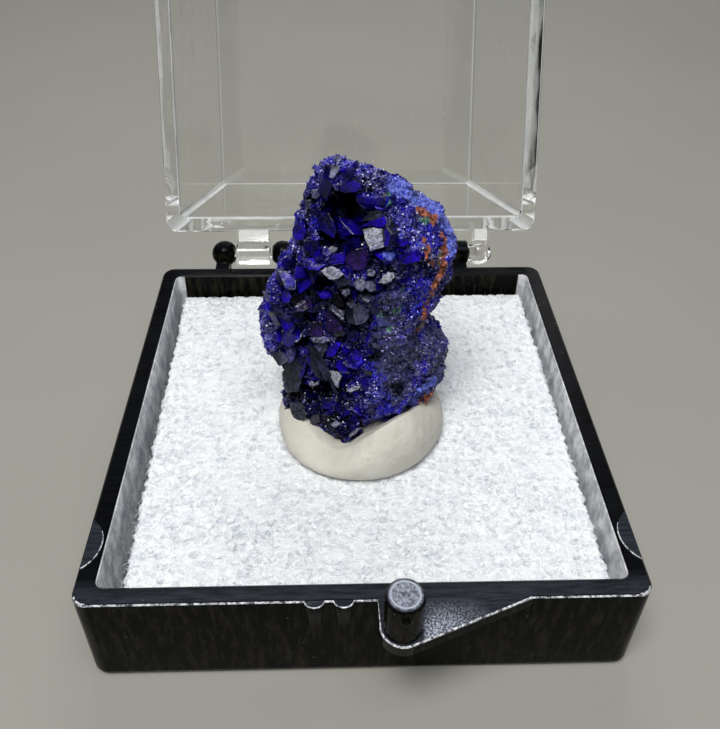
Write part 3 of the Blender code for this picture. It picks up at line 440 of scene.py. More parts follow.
# Putty: centre, half width and depth, height over the foam in each direction (degrees, mm), and dents: the
# height and size of each, in mm
PUTTY_CENTRE = (0.4, -1.4)
PUTTY_HALF = (10.15, 10.35)
PUTTY_HEIGHT = (
    (-180, 4.3), (-150, 3.0), (-130, 2.1), (-112, 2.0), (-97, 4.2), (-86, 6.0), (-74, 7.1), (-60, 7.6),
    (-46, 7.4), (-34, 6.8), (-22, 6.0), (-10, 5.8), (20, 5.6), (60, 5.2), (100, 5.0), (140, 4.6), (180, 4.3),
)
PUTTY_BROAD = (0.26, 4.2)
PUTTY_FINE = (0.07, 1.3)
PUTTY_RIDGES = (0.05, (0.9, 3.0, 1.6))
PUTTY_AROUND = 260
PUTTY_ROWS = 110
PUTTY_UNDERCUT = 24.0
PUTTY_WAIST = 0.26

# Round pads on the side rims: centre across and deep, radius, rise, outer limit
RIM_PAD = (30.45, -21.4, 3.72, 0.15, 28.38)
PAD_STEPS = 160

# Lid edges that look frosted: bevel width, the widest and the shortest strip that counts as an edge
LID_BEVEL = 0.5
LID_EDGE_WIDTH = 0.95
LID_EDGE_LENGTH = 12.0

# Angles in degrees: faces this flat are joined, edges this sharp are bevelled, or stay sharp in the light
FLAT_ANGLE = 1.0
SHARP_ANGLE = 38.0
CREASE_ANGLE = 50.0

# Edges of the base: bevel widths in mm, and the shortest edge that counts as long
BASE_BEVEL = 0.13
TAB_BEVEL = 0.16
RIB_BEVEL = 0.18
LONG_EDGE = 9.0

# Line of painted highlight along the front edge: the heights in mm from the rim between which it runs, the sides of
# the two ribs, how far forward and how deep it lies, and how its faces slant on the rim and on the tab
HIGHLIGHT_BAND = (-0.21, -0.08)
RIB_SIDES = (-5.9, -4.0, -3.05, -1.15)
HIGHLIGHT_FRONT = -27.7 * MM
HIGHLIGHT_DEPTH = 0.34 * MM
RIM_SLANT = (0.3, 0.95)
TAB_HIGHLIGHT_SLANT = (0.2, 0.97)


def placed(name, data):
    """An object of the scene."""
    item = bpy.data.objects.new(name, data)
    bpy.context.scene.collection.objects.link(item)
    return item


@contextlib.contextmanager
def opened(mesh, source=None):
    """A mesh, or another one copied into it, opened for work on its faces and written back afterwards."""
    bm = bmesh.new()
    bm.from_mesh(source or mesh)
    yield bm
    bm.to_mesh(mesh)
    bm.free()


def copy_of(node, name):
    """A copy of a CAD node with its doubled points merged, for a better surface on the same shape."""
    mesh = bpy.data.meshes.new(name)
    with opened(mesh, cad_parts[node].data) as bm:
        bmesh.ops.remove_doubles(bm, verts=bm.verts, dist=0.002 * MM)
    return placed(name, mesh)


def mesh_object(name, points, faces, material, smooth=False):
    """An object from points in metres and lists of corners."""
    mesh = bpy.data.meshes.new(name)
    mesh.from_pydata(np.asarray(points).tolist(), [], faces if isinstance(faces, list) else faces.tolist())
    mesh.materials.append(material)
    if smooth:
        mesh.shade_smooth()
    return placed(name, mesh)


def belongs(item, body, slot, *nodes):
    """Make a piece ride on its body and stand for its CAD nodes; the slot is not used."""
    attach(item, body)
    if nodes:
        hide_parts(*nodes)
    return item


def make_camera():
    """The camera at the picture's own viewpoint."""
    data = bpy.data.cameras.new("camera")
    data.sensor_width = SENSOR
    data.lens = FOCAL * SENSOR / max(PICTURE)
    data.shift_y = (AXIS_ROW - PICTURE[1] / 2) / max(PICTURE)
    data.clip_start = 5.0 * MM
    camera = placed("camera", data)
    turn = Matrix.Rotation(math.radians(LOOK_RIGHT), 4, "Z")
    turn = turn @ Matrix.Rotation(math.radians(90.0 - LOOK_DOWN), 4, "X")
    turn = turn @ Matrix.Rotation(math.radians(LOOK_ROLL), 4, "Z")
    camera.matrix_world = Matrix.Translation(EYE) @ turn
    bpy.context.scene.camera = camera
    return turn.to_3x3()


CAMERA_TURN = make_camera()


def sight(column, row):
    """The direction from the camera through a picture point."""
    away = Vector((column - PICTURE[0] / 2, AXIS_ROW - row, -FOCAL))
    return (CAMERA_TURN @ away).normalized()


def picture_points(points):
    """Picture columns and rows of many points in metres."""
    turn = np.array(CAMERA_TURN)
    local = (points - np.array(EYE)) @ turn
    depth = -local[:, 2]
    return np.stack((PICTURE[0] / 2 + FOCAL * local[:, 0] / depth, AXIS_ROW - FOCAL * local[:, 1] / depth), 1)


def make_lights():
    """The soft square lamps, each turned to what it shines at."""
    for name, target, way, distance, side, power, colour in LAMPS:
        data = bpy.data.lights.new(name, "AREA")
        data.size = side
        data.energy = power
        data.color = colour
        lamp = placed(name, data)
        lamp.location = target + way.normalized() * distance
        lamp.rotation_euler = (-way).to_track_quat("-Z", "Y").to_euler()


def make_world():
    """A dim grey room; the camera sees a pale background instead, also through clear plastic."""
    world = bpy.data.worlds.new("room")
    world.use_nodes = True
    world.node_tree.nodes.clear()
    paint = Paint(world.node_tree)
    room = paint.feed(paint.node("Background"), Color=(*ROOM_GREY, 1.0))
    seen = paint.feed(paint.node("Background"), Color=(*BACKGROUND, 1.0))
    path = paint.node("LightPath").outputs
    straight = paint.larger(path["Is Camera Ray"], path["Is Transmission Ray"])
    mix = paint.feed(paint.node("MixShader"), i0=straight, i1=room.outputs[0], i2=seen.outputs[0])
    paint.feed(paint.node("OutputWorld"), Surface=mix.outputs[0])
    bpy.context.scene.world = world


class Paint:
    """Short names for making a material's nodes."""

    def __init__(self, tree):
        self.tree = tree

    def node(self, kind, **settings):
        """A node with its settings."""
        made = self.tree.nodes.new("ShaderNode" + kind)
        for key, value in settings.items():
            setattr(made, key, value)
        return made

    def feed(self, made, **sockets):
        """Link or set sockets by name, with _ for a space, or by number, with i before it."""
        for key, value in sockets.items():
            numbered = key[0] == "i" and key[1:].isdigit()
            socket = made.inputs[int(key[1:]) if numbered else key.replace("_", " ")]
            if isinstance(value, bpy.types.NodeSocket):
                self.tree.links.new(value, socket)
            else:
                socket.default_value = value
        return made

    def math(self, operation, a, b=0.0):
        """The result of a maths node."""
        return self.feed(self.node("Math", operation=operation), i0=a, i1=b).outputs[0]

    def times(self, first, *others):
        """The product of all the values."""
        for other in others:
            first = self.math("MULTIPLY", first, other)
        return first

    def plus(self, first, *others):
        """The sum of all the values."""
        for other in others:
            first = self.math("ADD", first, other)
        return first

    def larger(self, a, b):
        """The larger of two values."""
        return self.math("MAXIMUM", a, b)

    def ramp(self, value, low, high, to_low=0.0, to_high=1.0):
        """A clamped change of range."""
        made = self.node("MapRange")
        self.feed(made, Value=value, From_Min=low, From_Max=high, To_Min=to_low, To_Max=to_high)
        return made.outputs[0]

    def noise(self, vector, scale, detail=3.0, roughness=0.55):
        """A noise texture's value."""
        made = self.node("TexNoise")
        self.feed(made, Vector=vector, Scale=scale, Detail=detail, Roughness=roughness)
        return made.outputs["Fac"]

    def cells(self, vector, scale, feature="F1"):
        """The outputs of a cell texture."""
        return self.feed(self.node("TexVoronoi", feature=feature), Vector=vector, Scale=scale).outputs

    def mapped(self, vector, scale, turn=(0.0, 0.0, 0.0)):
        """Places that are stretched and turned."""
        return self.feed(self.node("Mapping"), Vector=vector, Rotation=turn, Scale=scale).outputs[0]

    def vector(self, operation, a, b):
        """The result of a vector maths node: a number for a distance or a dot product."""
        made = self.feed(self.node("VectorMath", operation=operation), i0=a, i1=b)
        return made.outputs["Value" if operation in ("DISTANCE", "DOT_PRODUCT") else "Vector"]

    def axes(self, vector):
        """The three parts of a vector."""
        return self.feed(self.node("SeparateXYZ"), Vector=vector).outputs

    def channels(self, colour):
        """The three channels of a colour."""
        return self.feed(self.node("SeparateColor"), Color=colour).outputs

    def mix(self, factor, a, b):
        """A colour mix."""
        return self.feed(self.node("Mix", data_type="RGBA"), i0=factor, i6=a, i7=b).outputs[2]

    def bump(self, height, distance, strength):
        """A normal from a height."""
        return self.feed(self.node("Bump"), Height=height, Distance=distance, Strength=strength).outputs[0]

    def relief(self, *parts):
        """A normal from values, each with its height in millimetres."""
        total = 0.0
        for value, height in parts:
            total = self.plus(self.times(value, height * MM), total)
        return self.bump(total, 1.0, 1.0)

    def stored(self, name):
        """A value written on the mesh's points."""
        return self.node("Attribute", attribute_name=name).outputs["Fac"]

    def own(self):
        """A random number for each crystal."""
        return self.node("NewGeometry").outputs["Random Per Island"]

    def group(self, tree, **sockets):
        """The outputs of a node group with its values."""
        made = self.tree.nodes.new("ShaderNodeGroup")
        made.node_tree = tree
        return self.feed(made, **sockets).outputs


def new_group(name, inputs, outputs):
    """An empty shader node group with named inputs and outputs."""
    tree = bpy.data.node_groups.new(name, "ShaderNodeTree")
    for label, kind, value in inputs:
        socket = tree.interface.new_socket(label, in_out="INPUT", socket_type=kind)
        if value is not None:
            socket.default_value = value
    for label, kind in outputs:
        tree.interface.new_socket(label, in_out="OUTPUT", socket_type=kind)
    start = tree.nodes.new("NodeGroupInput")
    end = tree.nodes.new("NodeGroupOutput")
    return tree, Paint(tree), start.outputs, end


VALUE = "NodeSocketFloat"
COLOUR = "NodeSocketColor"
VECTOR = "NodeSocketVector"


def scuff_group():
    """Fine rubbing marks that run in two directions, and a soft haze."""
    tree, paint, given, end = new_group(
        "scuffs",
        (("Place", VECTOR, None), ("Scale", VALUE, 300.0), ("Amount", VALUE, 0.5)),
        (("Mask", VALUE), ("Haze", VALUE)))
    marks = []
    for turn, stretch in ((0.5, (1.0, 0.03, 1.0)), (2.1, (0.04, 1.0, 0.6))):
        streaks = paint.noise(paint.mapped(given["Place"], stretch, (0.2, 0.1, turn)), given["Scale"], 2.0, 0.4)
        marks.append(paint.ramp(streaks, 0.62, 0.70))
    patchy = paint.ramp(paint.noise(given["Place"], 90.0, 4.0, 0.6), 0.40, 0.66)
    paint.feed(end, Mask=paint.times(paint.larger(*marks), patchy, given["Amount"]), Haze=patchy)
    return tree


def dust_group():
    """Sparse specks of dust."""
    tree, paint, given, end = new_group(
        "dust",
        (("Place", VECTOR, None), ("Scale", VALUE, 900.0), ("Amount", VALUE, 0.3)),
        (("Mask", VALUE),))
    cells = paint.cells(given["Place"], given["Scale"])
    near = paint.ramp(cells["Distance"], 0.10, 0.22, 1.0, 0.0)
    kept = paint.math("LESS_THAN", paint.channels(cells["Color"])[0], given["Amount"])
    paint.feed(end, Mask=paint.times(near, kept))
    return tree


def growth_lines_group():
    """Fine parallel growth lines across a crystal face, from the face's own map."""
    tree, paint, given, end = new_group(
        "growth_lines",
        (("Map", VECTOR, None), ("Fineness", VALUE, 4.0), ("Cracks", VALUE, 0.5)),
        (("Height", VALUE), ("Dark", VALUE)))
    stretched = paint.mapped(given["Map"], (0.25, 1.0, 1.0))
    lines = paint.noise(stretched, given["Fineness"], 3.0, 0.7)
    etched = paint.noise(given["Map"], 9.0, 4.0, 0.65)
    dark = paint.ramp(paint.cells(stretched, 0.9, "DISTANCE_TO_EDGE")["Distance"], 0.0, 0.05, 1.0, 0.0)
    paint.feed(end, Height=paint.plus(lines, paint.times(etched, 0.5)), Dark=paint.times(dark, given["Cracks"]))
    return tree


def mottle_group():
    """Blue that wanders between a dark and a bright colour over the specimen."""
    tree, paint, given, end = new_group(
        "azurite_mottle",
        (("Place", VECTOR, None), ("Own", VALUE, 0.5), ("Dark", COLOUR, None), ("Bright", COLOUR, None)),
        (("Colour", COLOUR),))
    broad = paint.noise(given["Place"], 300.0, 3.0, 0.6)
    fine = paint.noise(given["Place"], 1300.0, 2.0, 0.6)
    shade = paint.plus(paint.ramp(broad, 0.34, 0.66, 0.0, 0.5), paint.times(fine, 0.22),
                       paint.times(given["Own"], 0.3))
    paint.feed(end, Colour=paint.mix(paint.ramp(shade, 0.25, 0.76), given["Dark"], given["Bright"]))
    return tree


def facets_group():
    """Flat little facets that each tilt their own way: a height in metres, and a random number for each."""
    tree, paint, given, end = new_group(
        "crystal_facets",
        (("Place", VECTOR, None), ("Scale", VALUE, 2500.0), ("Steep", VALUE, 0.8)),
        (("Height", VALUE), ("Own", VALUE)))
    cells = paint.cells(given["Place"], given["Scale"])
    away = paint.vector("SUBTRACT", given["Place"], cells["Position"])
    tilt = paint.vector("SUBTRACT", cells["Color"], (0.5, 0.5, 0.5))
    rise = paint.vector("DOT_PRODUCT", away, tilt)
    paint.feed(end, Height=paint.times(rise, given["Steep"]), Own=paint.channels(cells["Color"])[1])
    return tree


SCUFFS = scuff_group()
DUST = dust_group()
GROWTH_LINES = growth_lines_group()
MOTTLE = mottle_group()
FACETS = facets_group()


def new_material(name):
    """A material with its shader, and the places that its textures are laid on."""
    material = bpy.data.materials.new(name)
    material.use_nodes = True
    paint = Paint(material.node_tree)
    shader = material.node_tree.nodes["Principled BSDF"]
    return material, paint, shader, paint.node("TexCoord").outputs["Object"]


def rgb(red, green, blue):
    """A colour with full alpha, from screen values up to 255."""
    linear = []
    for value in (red, green, blue):
        share = value / 255.0
        linear.append(share / 12.92 if share <= 0.04045 else ((share + 0.055) / 1.055) ** 2.4)
    return (*linear, 1.0)


def inside_walls(paint, x, y, z):
    """The inner sides of the left and right walls, up to just under the rim, where the foam's reflection is painted.
    """
    across, deep = paint.math("ABSOLUTE", x), paint.math("ABSOLUTE", y)
    return paint.times(paint.ramp(across, INNER_HALF + 0.5 * MM, INNER_HALF + 0.4 * MM),
                       paint.ramp(across, INNER_HALF - 1.2 * MM, INNER_HALF - 1.1 * MM),
                       paint.ramp(deep, INNER_HALF + 0.1 * MM, INNER_HALF),
                       paint.ramp(z, RIM - FOAM_REFLECTION_FROM, RIM - FOAM_REFLECTION_FULL))


def frost_and_painted_highlights(paint, place, x, y, z, level):
    """Where the thumb tab and the post's top are frosted and carry painted highlights: the speckled top of the tab,
    fading to the right, and the rough disc and ring on the post's top.
    """
    speckle = paint.ramp(paint.noise(place, 5600.0, 3.0, 0.7), 0.46, 0.62, 0.10, 1.0)
    tab = paint.times(paint.ramp(y, TAB_FRONT + 0.4 * MM, TAB_FRONT - 2.4 * MM),
                      paint.ramp(x, POST_RIGHT, POST_RIGHT + 0.4 * MM),
                      paint.ramp(paint.vector("DISTANCE", place, TAB_HIGHLIGHT_CENTRE), *TAB_HIGHLIGHT_FADE), level, speckle)
    post_top = paint.ramp(z, POST_TOP - 0.06 * MM, POST_TOP)
    from_axis = paint.vector("DISTANCE", place, POST_TOP_CENTRE)
    ring = paint.times(*(paint.ramp(from_axis, *fade) for fade in POST_HIGHLIGHT_RING))
    rough_highlit_disc = paint.ramp(paint.noise(place, 2600.0, 3.0, 0.7), 0.36, 0.64, 0.06, 0.62)
    return paint.larger(tab, paint.times(post_top, paint.larger(rough_highlit_disc, paint.times(ring, 0.72))))


def black_plastic(name, front_painted_sheen, side_painted_sheen):
    """Glossy black moulded plastic with scuffs and dust; a painted reflection of the foam on the inside walls,
    painted highlights on the frosted tab and post top, faint streaks of painted reflection on the sides and a
    painted sheen on the upward faces.
    """
    material, paint, shader, place = new_material(name)
    x, y, z = paint.axes(place)
    scuffs = paint.group(SCUFFS, Place=place, Scale=420.0, Amount=0.8)
    dust = paint.group(DUST, Place=place, Scale=2100.0, Amount=0.012)
    upward = paint.axes(paint.node("NewGeometry").outputs["Normal"])[2]
    level = paint.ramp(upward, 0.6, 0.9)
    inside = inside_walls(paint, x, y, z)
    frost_and_highlight = frost_and_painted_highlights(paint, place, x, y, z, level)
    colour = paint.mix(scuffs["Haze"], rgb(3, 3, 3), rgb(7, 8, 9))
    # Painted reflection: faint warm streaks on the upright sides
    falling = paint.mapped(place, (1.0, 1.0, 0.20))
    streaks = paint.ramp(paint.noise(falling, 1500.0, 4.0, 0.7), 0.47, 0.66)
    upright = paint.ramp(upward, 0.3, 0.6, 1.0, 0.0)
    colour = paint.mix(paint.times(streaks, upright), colour, rgb(38, 35, 25))
    # Painted sheen: upward faces are a lighter grey, strongest on the front rim, broken into streaks
    along = paint.mapped(place, (0.12, 1.0, 1.0))
    sheen_streaks = paint.ramp(paint.noise(along, 2600.0, 5.0, 0.75), 0.38, 0.62, 0.35, 1.0)
    painted_sheen = paint.ramp(y, -25.5 * MM, -27.5 * MM, side_painted_sheen, front_painted_sheen)
    colour = paint.mix(paint.times(level, painted_sheen, sheen_streaks), colour, rgb(56, 59, 68))
    # Painted reflection of the white foam on the inside walls, mottled
    painted_light = paint.noise(paint.mapped(place, (1.0, 1.0, 0.7)), 620.0, 6.0, 0.72)
    painted_foam_reflection = paint.mix(paint.ramp(painted_light, 0.38, 0.66), rgb(168, 171, 176), rgb(255, 255, 255))
    colour = paint.mix(inside, colour, painted_foam_reflection)
    # Painted highlights on the frosted tab and the post's top
    colour = paint.mix(frost_and_highlight, colour, rgb(206, 214, 232))
    colour = paint.mix(paint.times(dust["Mask"], 0.5), colour, rgb(150, 150, 146))
    rough = paint.plus(paint.ramp(scuffs["Haze"], 0.0, 1.0, 0.15, 0.27), paint.times(scuffs["Mask"], 0.25),
                       paint.times(paint.larger(inside, frost_and_highlight), 0.22))
    waves = paint.noise(place, 160.0, 2.0, 0.5)
    grit = paint.times(paint.noise(place, 3800.0, 2.0, 0.6), paint.times(frost_and_highlight, 0.16))
    height = paint.plus(paint.times(scuffs["Mask"], -0.02), paint.times(waves, 0.12), grit)
    paint.feed(shader, Base_Color=colour, Roughness=rough, Normal=paint.bump(height, 1.0 * MM, 0.4), IOR=1.13)
    return material


def edge_painted_highlight():
    """A painted highlight for the box's top front edge, in broken white specks on a rough edge."""
    material, paint, shader, place = new_material("black_plastic_edge")
    # Painted highlight: broken white specks along the edge
    broken = paint.ramp(paint.noise(place, 2300.0, 4.0, 0.7), 0.40, 0.58)
    fine = paint.noise(place, 5200.0, 2.0, 0.6)
    paint.feed(shader, Base_Color=paint.mix(broken, rgb(66, 69, 76), rgb(240, 243, 248)),
               Roughness=paint.ramp(broken, 0.0, 1.0, 0.16, 0.36), Normal=paint.relief((fine, 0.02)), IOR=1.45)
    return material


def lamps_pass(paint, shader, tint):
    """Let the light that falls on other pieces through a clear piece without bending it."""
    through = paint.feed(paint.node("BsdfTransparent"), Color=tint)
    path = paint.node("LightPath").outputs
    straight = paint.larger(path["Is Shadow Ray"], path["Is Diffuse Ray"])
    mix = paint.feed(paint.node("MixShader"), i0=straight, i1=shader.outputs[0], i2=through.outputs[0])
    paint.feed(paint.tree.nodes["Material Output"], Surface=mix.outputs[0])


def clear_plastic():
    """Clear polished plastic with a few hairline scratches; lamps shine through it."""
    material, paint, shader, place = new_material("clear_plastic")
    scuffs = paint.group(SCUFFS, Place=place, Scale=380.0, Amount=0.6)
    dust = paint.group(DUST, Place=place, Scale=1100.0, Amount=0.025)
    rough = paint.plus(paint.ramp(scuffs["Mask"], 0.0, 1.0, 0.03, 0.30), paint.times(dust["Mask"], 0.3))
    waves = paint.noise(place, 70.0, 2.0, 0.5)
    paint.feed(shader, Base_Color=(0.985, 0.988, 0.976, 1.0), Roughness=rough,
               Normal=paint.bump(waves, 1.0 * MM, 0.05), IOR=1.50, Transmission_Weight=1.0)
    lamps_pass(paint, shader, (0.97, 0.975, 0.97, 1.0))
    return material


def frosted_edge():
    """The moulded edges of the clear lid, which scatter light and look milky."""
    material, paint, shader, place = new_material("clear_plastic_edge")
    cloudy = paint.noise(place, 240.0, 3.0, 0.6)
    fine = paint.noise(place, 2400.0, 2.0, 0.6)
    colour = paint.mix(paint.ramp(cloudy, 0.35, 0.65), rgb(226, 230, 230), rgb(250, 252, 252))
    paint.feed(shader, Base_Color=colour, Roughness=paint.ramp(cloudy, 0.3, 0.7, 0.30, 0.48),
               Normal=paint.bump(fine, 0.05 * MM, 0.4), IOR=1.50, Transmission_Weight=0.45)
    lamps_pass(paint, shader, (0.95, 0.955, 0.95, 1.0))
    return material


def white_foam():
    """Soft white foam: bright white cell walls, a grey that differs at random from cell to cell, and painted shade
    down in the pits.
    """
    material, paint, shader, place = new_material("white_foam")
    warp = paint.feed(paint.node("TexNoise"), Vector=place, Scale=1100.0, Detail=2.0)
    bend = paint.node("VectorMath", operation="MULTIPLY_ADD")
    paint.feed(bend, i0=warp.outputs["Color"], i1=(0.0009, 0.0009, 0.0009), i2=place)
    shifted = bend.outputs[0]
    webs = []
    for scale, wide in ((1150.0, 0.13), (2500.0, 0.15)):
        edges = paint.cells(shifted, scale, "DISTANCE_TO_EDGE")
        webs.append(paint.ramp(edges["Distance"], 0.02, wide, 1.0, 0.0))
    strands = paint.larger(webs[0], paint.times(webs[1], 0.75))
    # Painted shade: greyer down in the cells' pits, by the stored low value, with a random tone for each cell and
    # broad patches
    own = paint.channels(paint.cells(shifted, 1150.0)["Color"])[0]
    broad = paint.ramp(paint.noise(place, 260.0, 3.0, 0.6), 0.3, 0.7, -0.15, 0.15)
    deep = paint.plus(paint.times(own, 0.55), paint.times(paint.stored("low"), 0.55), broad)
    colour = paint.mix(paint.ramp(deep, 0.15, 1.0), rgb(242, 246, 250), rgb(186, 194, 203))
    colour = paint.mix(paint.times(strands, 0.85), colour, rgb(252, 254, 255))
    paint.feed(shader, Base_Color=colour, Roughness=0.42, Normal=paint.bump(strands, 0.10 * MM, 0.6),
               Subsurface_Weight=0.3, Subsurface_Radius=(0.8, 0.85, 0.9), Subsurface_Scale=0.8 * MM)
    return material


def cream_putty():
    """Matt cream putty with faint creases, finger smears, tiny pits and dark specks."""
    material, paint, shader, place = new_material("cream_putty")
    broad = paint.noise(place, 130.0, 3.0, 0.5)
    fine = paint.noise(place, 1500.0, 4.0, 0.65)
    dust = paint.group(DUST, Place=place, Scale=1100.0, Amount=0.03)
    pitted = paint.ramp(paint.cells(place, 1300.0)["Distance"], 0.10, 0.28)
    colour = paint.mix(paint.ramp(broad, 0.35, 0.7), rgb(200, 197, 184), rgb(218, 215, 203))
    colour = paint.mix(paint.times(dust["Mask"], 0.75), colour, rgb(92, 84, 76))
    lines = paint.noise(paint.mapped(place, (1.0, 0.3, 1.0), (0.3, 0.2, 0.6)), 520.0, 4.0, 0.7)
    height = paint.plus(paint.times(lines, 0.9), paint.times(fine, 0.6), paint.times(pitted, 0.14))
    paint.feed(shader, Base_Color=colour, Roughness=0.62, Normal=paint.bump(height, 0.17 * MM, 0.9),
               Subsurface_Weight=0.2, Subsurface_Radius=(1.0, 0.75, 0.5), Subsurface_Scale=0.6 * MM)
    return material


def stained(paint, place, colour, rough):
    """Lay the grey crust, powder, green, cream and rust over a blue, from the mesh's stain values."""
    grain = paint.noise(place, 2600.0, 3.0, 0.65)
    patch = paint.noise(place, 820.0, 2.0, 0.6)
    broken = paint.plus(paint.ramp(grain, 0.3, 0.7, -0.26, 0.26), paint.ramp(patch, 0.3, 0.7, -0.40, 0.30))
    for name, dark, pale, roughness, strength in STAIN_LOOKS:
        share = paint.ramp(paint.plus(paint.stored(name), broken), 0.40, 0.62, 0.0, strength)
        own = paint.mix(paint.ramp(grain, 0.32, 0.68), rgb(*dark), rgb(*pale))
        colour = paint.mix(share, colour, own)
        mixed = paint.node("Mix", data_type="FLOAT")
        rough = paint.feed(mixed, i0=share, i2=rough, i3=roughness).outputs[0]
    return colour, rough


def with_painted_shade(paint, colour):
    """Painted shade: darken a colour down between the crystals and in the hollows, by the deep value on the mesh."""
    return paint.mix(paint.times(paint.stored("deep"), 0.94), colour, rgb(2, 2, 7))


def facets(paint, place, scale, steep):
    """The crystal facets at one size."""
    return paint.group(FACETS, Place=place, Scale=scale, Steep=steep)


def azurite_crust(name):
    """Deep blue azurite in tiny crystals, stained in places, with a painted sheen of pale facets and painted shade
    between the crystals.
    """
    material, paint, shader, place = new_material(name)
    coarse = facets(paint, place, 2100.0, 1.2)
    fine = facets(paint, place, 5200.0, 1.2)
    each = paint.plus(paint.times(paint.own(), 0.5), paint.times(coarse["Own"], 0.5))
    colour = paint.group(MOTTLE, Place=place, Own=each, Dark=rgb(6, 4, 54), Bright=rgb(42, 32, 220))["Colour"]
    # Painted sheen: pale lilac facets here and there, many more where the glints' swarms lie
    sheen = paint.stored("sheen")
    chance = paint.plus(fine["Own"], paint.times(sheen, 0.26))
    pale = paint.times(paint.ramp(chance, 0.77, 0.85), paint.ramp(sheen, 0.0, 1.0, 0.38, 0.85))
    colour = paint.mix(pale, colour, rgb(122, 126, 204))
    colour = paint.mix(paint.times(paint.ramp(chance, 0.34, 0.28), 0.72), colour, rgb(3, 3, 20))
    rough = paint.ramp(coarse["Own"], 0.0, 1.0, 0.07, 0.30)
    colour, rough = stained(paint, place, colour, rough)
    normal = paint.relief((coarse["Height"], 1.0 / MM), (fine["Height"], 1.0 / MM))
    paint.feed(shader, Base_Color=with_painted_shade(paint, colour), Roughness=rough, Normal=normal, IOR=1.72)
    return material


def azurite_blocks():
    """Glassy blocky crystals, from nearly black to vivid blue and slate, each of one colour; a few pale lilac-grey
    ones are a painted sheen.
    """
    material, paint, shader, place = new_material("azurite_blocks")
    own = paint.own()
    kinds = paint.node("ValToRGB")
    marks = kinds.color_ramp.elements
    while len(marks) < len(BLOCK_COLOURS):
        marks.new(1.0)
    for mark, (at, colour) in zip(marks, BLOCK_COLOURS):
        mark.position = at
        mark.color = rgb(*colour)
    region = paint.ramp(paint.noise(place, 240.0, 2.0, 0.5), 0.32, 0.68, 0.0, 0.4)
    paint.feed(kinds, Fac=paint.plus(paint.times(own, 0.62), region))
    face_map = paint.node("UVMap", uv_map="growth").outputs[0]
    lines = paint.group(GROWTH_LINES, Map=face_map, Fineness=4.0, Cracks=0.35)
    broad = facets(paint, place, 1300.0, 0.18)
    grain = facets(paint, place, 4200.0, 0.11)
    dim = paint.ramp(paint.noise(place, 700.0, 4.0, 0.65), 0.60, 0.38, 0.0, 0.85)
    colour = paint.mix(dim, kinds.outputs[0], rgb(3, 3, 22))
    colour = paint.mix(paint.ramp(lines["Height"], 0.95, 1.15, 0.0, 0.30), colour, rgb(96, 88, 190))
    colour = paint.mix(lines["Dark"], colour, rgb(2, 2, 10))
    rough = paint.ramp(paint.math("FRACT", paint.times(own, 7.3)), 0.0, 1.0, 0.06, 0.26)
    colour, rough = stained(paint, place, colour, rough)
    normal = paint.relief((broad["Height"], 1.0 / MM), (grain["Height"], 1.0 / MM), (lines["Height"], 0.035))
    paint.feed(shader, Base_Color=with_painted_shade(paint, colour), Roughness=rough, Normal=normal, IOR=1.42)
    return material


def azurite_glint():
    """Tiny polished crystal faces that catch the light, whose pale lilac is partly a painted highlight."""
    material, paint, shader, place = new_material("azurite_glint")
    own = paint.own()
    # Painted highlight: the mottle runs up to a pale lilac
    colour = paint.group(MOTTLE, Place=place, Own=own, Dark=rgb(12, 10, 66), Bright=rgb(132, 126, 216))["Colour"]
    normal = paint.relief((facets(paint, place, 5600.0, 0.5)["Height"], 1.0 / MM))
    paint.feed(shader, Base_Color=colour, Roughness=paint.ramp(own, 0.0, 1.0, 0.10, 0.34), Normal=normal, IOR=1.80)
    return material


def azurite_face(name, dark, bright, roughness, line_relief, cracks, ior):
    """A large crystal face with growth lines, cracks, blotches and a few etched facets."""
    material, paint, shader, place = new_material(name)
    face_map = paint.node("UVMap", uv_map="growth").outputs[0]
    lines = paint.group(GROWTH_LINES, Map=face_map, Fineness=5.0, Cracks=cracks)
    broad = facets(paint, place, 1500.0, 0.22)
    grain = facets(paint, place, 5200.0, 0.28)
    blotch = paint.noise(place, 1100.0, 5.0, 0.72)
    share = paint.plus(paint.ramp(lines["Height"], 0.5, 1.1, -0.35, 0.35), paint.ramp(blotch, 0.38, 0.62, 0.0, 0.9),
                       paint.ramp(paint.own(), 0.0, 1.0, -0.15, 0.15),
                       paint.ramp(grain["Own"], 0.0, 1.0, -0.14, 0.14))
    colour = paint.mix(share, rgb(*dark), rgb(*bright))
    colour = paint.mix(lines["Dark"], colour, rgb(5, 5, 14))
    rough = paint.plus(paint.ramp(blotch, 0.36, 0.64, 0.16, -0.08), roughness)
    normal = paint.relief((broad["Height"], 1.0 / MM), (grain["Height"], 1.0 / MM),
                          (lines["Height"], 0.05 * line_relief))
    paint.feed(shader, Base_Color=with_painted_shade(paint, colour), Roughness=rough, Normal=normal, IOR=ior)
    return material


def pale_floor():
    """A plain pale tabletop."""
    material, paint, shader, place = new_material("pale_floor")
    colour = paint.mix(paint.noise(place, 22.0, 3.0, 0.5), rgb(151, 149, 140), rgb(159, 157, 149))
    paint.feed(shader, Base_Color=colour, Roughness=0.7)
    return material


def clipped(values):
    """Values cut off below 0 and above 1."""
    return np.clip(values, 0.0, 1.0)


def unit(vectors):
    """Vectors made 1 long."""
    return vectors / np.maximum(np.linalg.norm(vectors, axis=-1, keepdims=True), 1e-9)


def dots(first, second):
    """The dot product of each row with its partner."""
    return np.einsum("ij,ij->i", first, second)


def towards_eye(world, facing):
    """How squarely each place in metres faces the camera, from -1 to 1."""
    return dots(facing, unit(np.array(EYE) - world))


def wander(points, size, shift=(0.0, 0.0, 0.0), kind=noise.noise):
    """Smooth noise at each point, with waves of about the given size."""
    start = Vector(shift)
    return np.array([kind(Vector(point) / size + start) for point in points])


def picked(which, *parts):
    """The chosen rows of several arrays."""
    return [part[which] for part in parts]


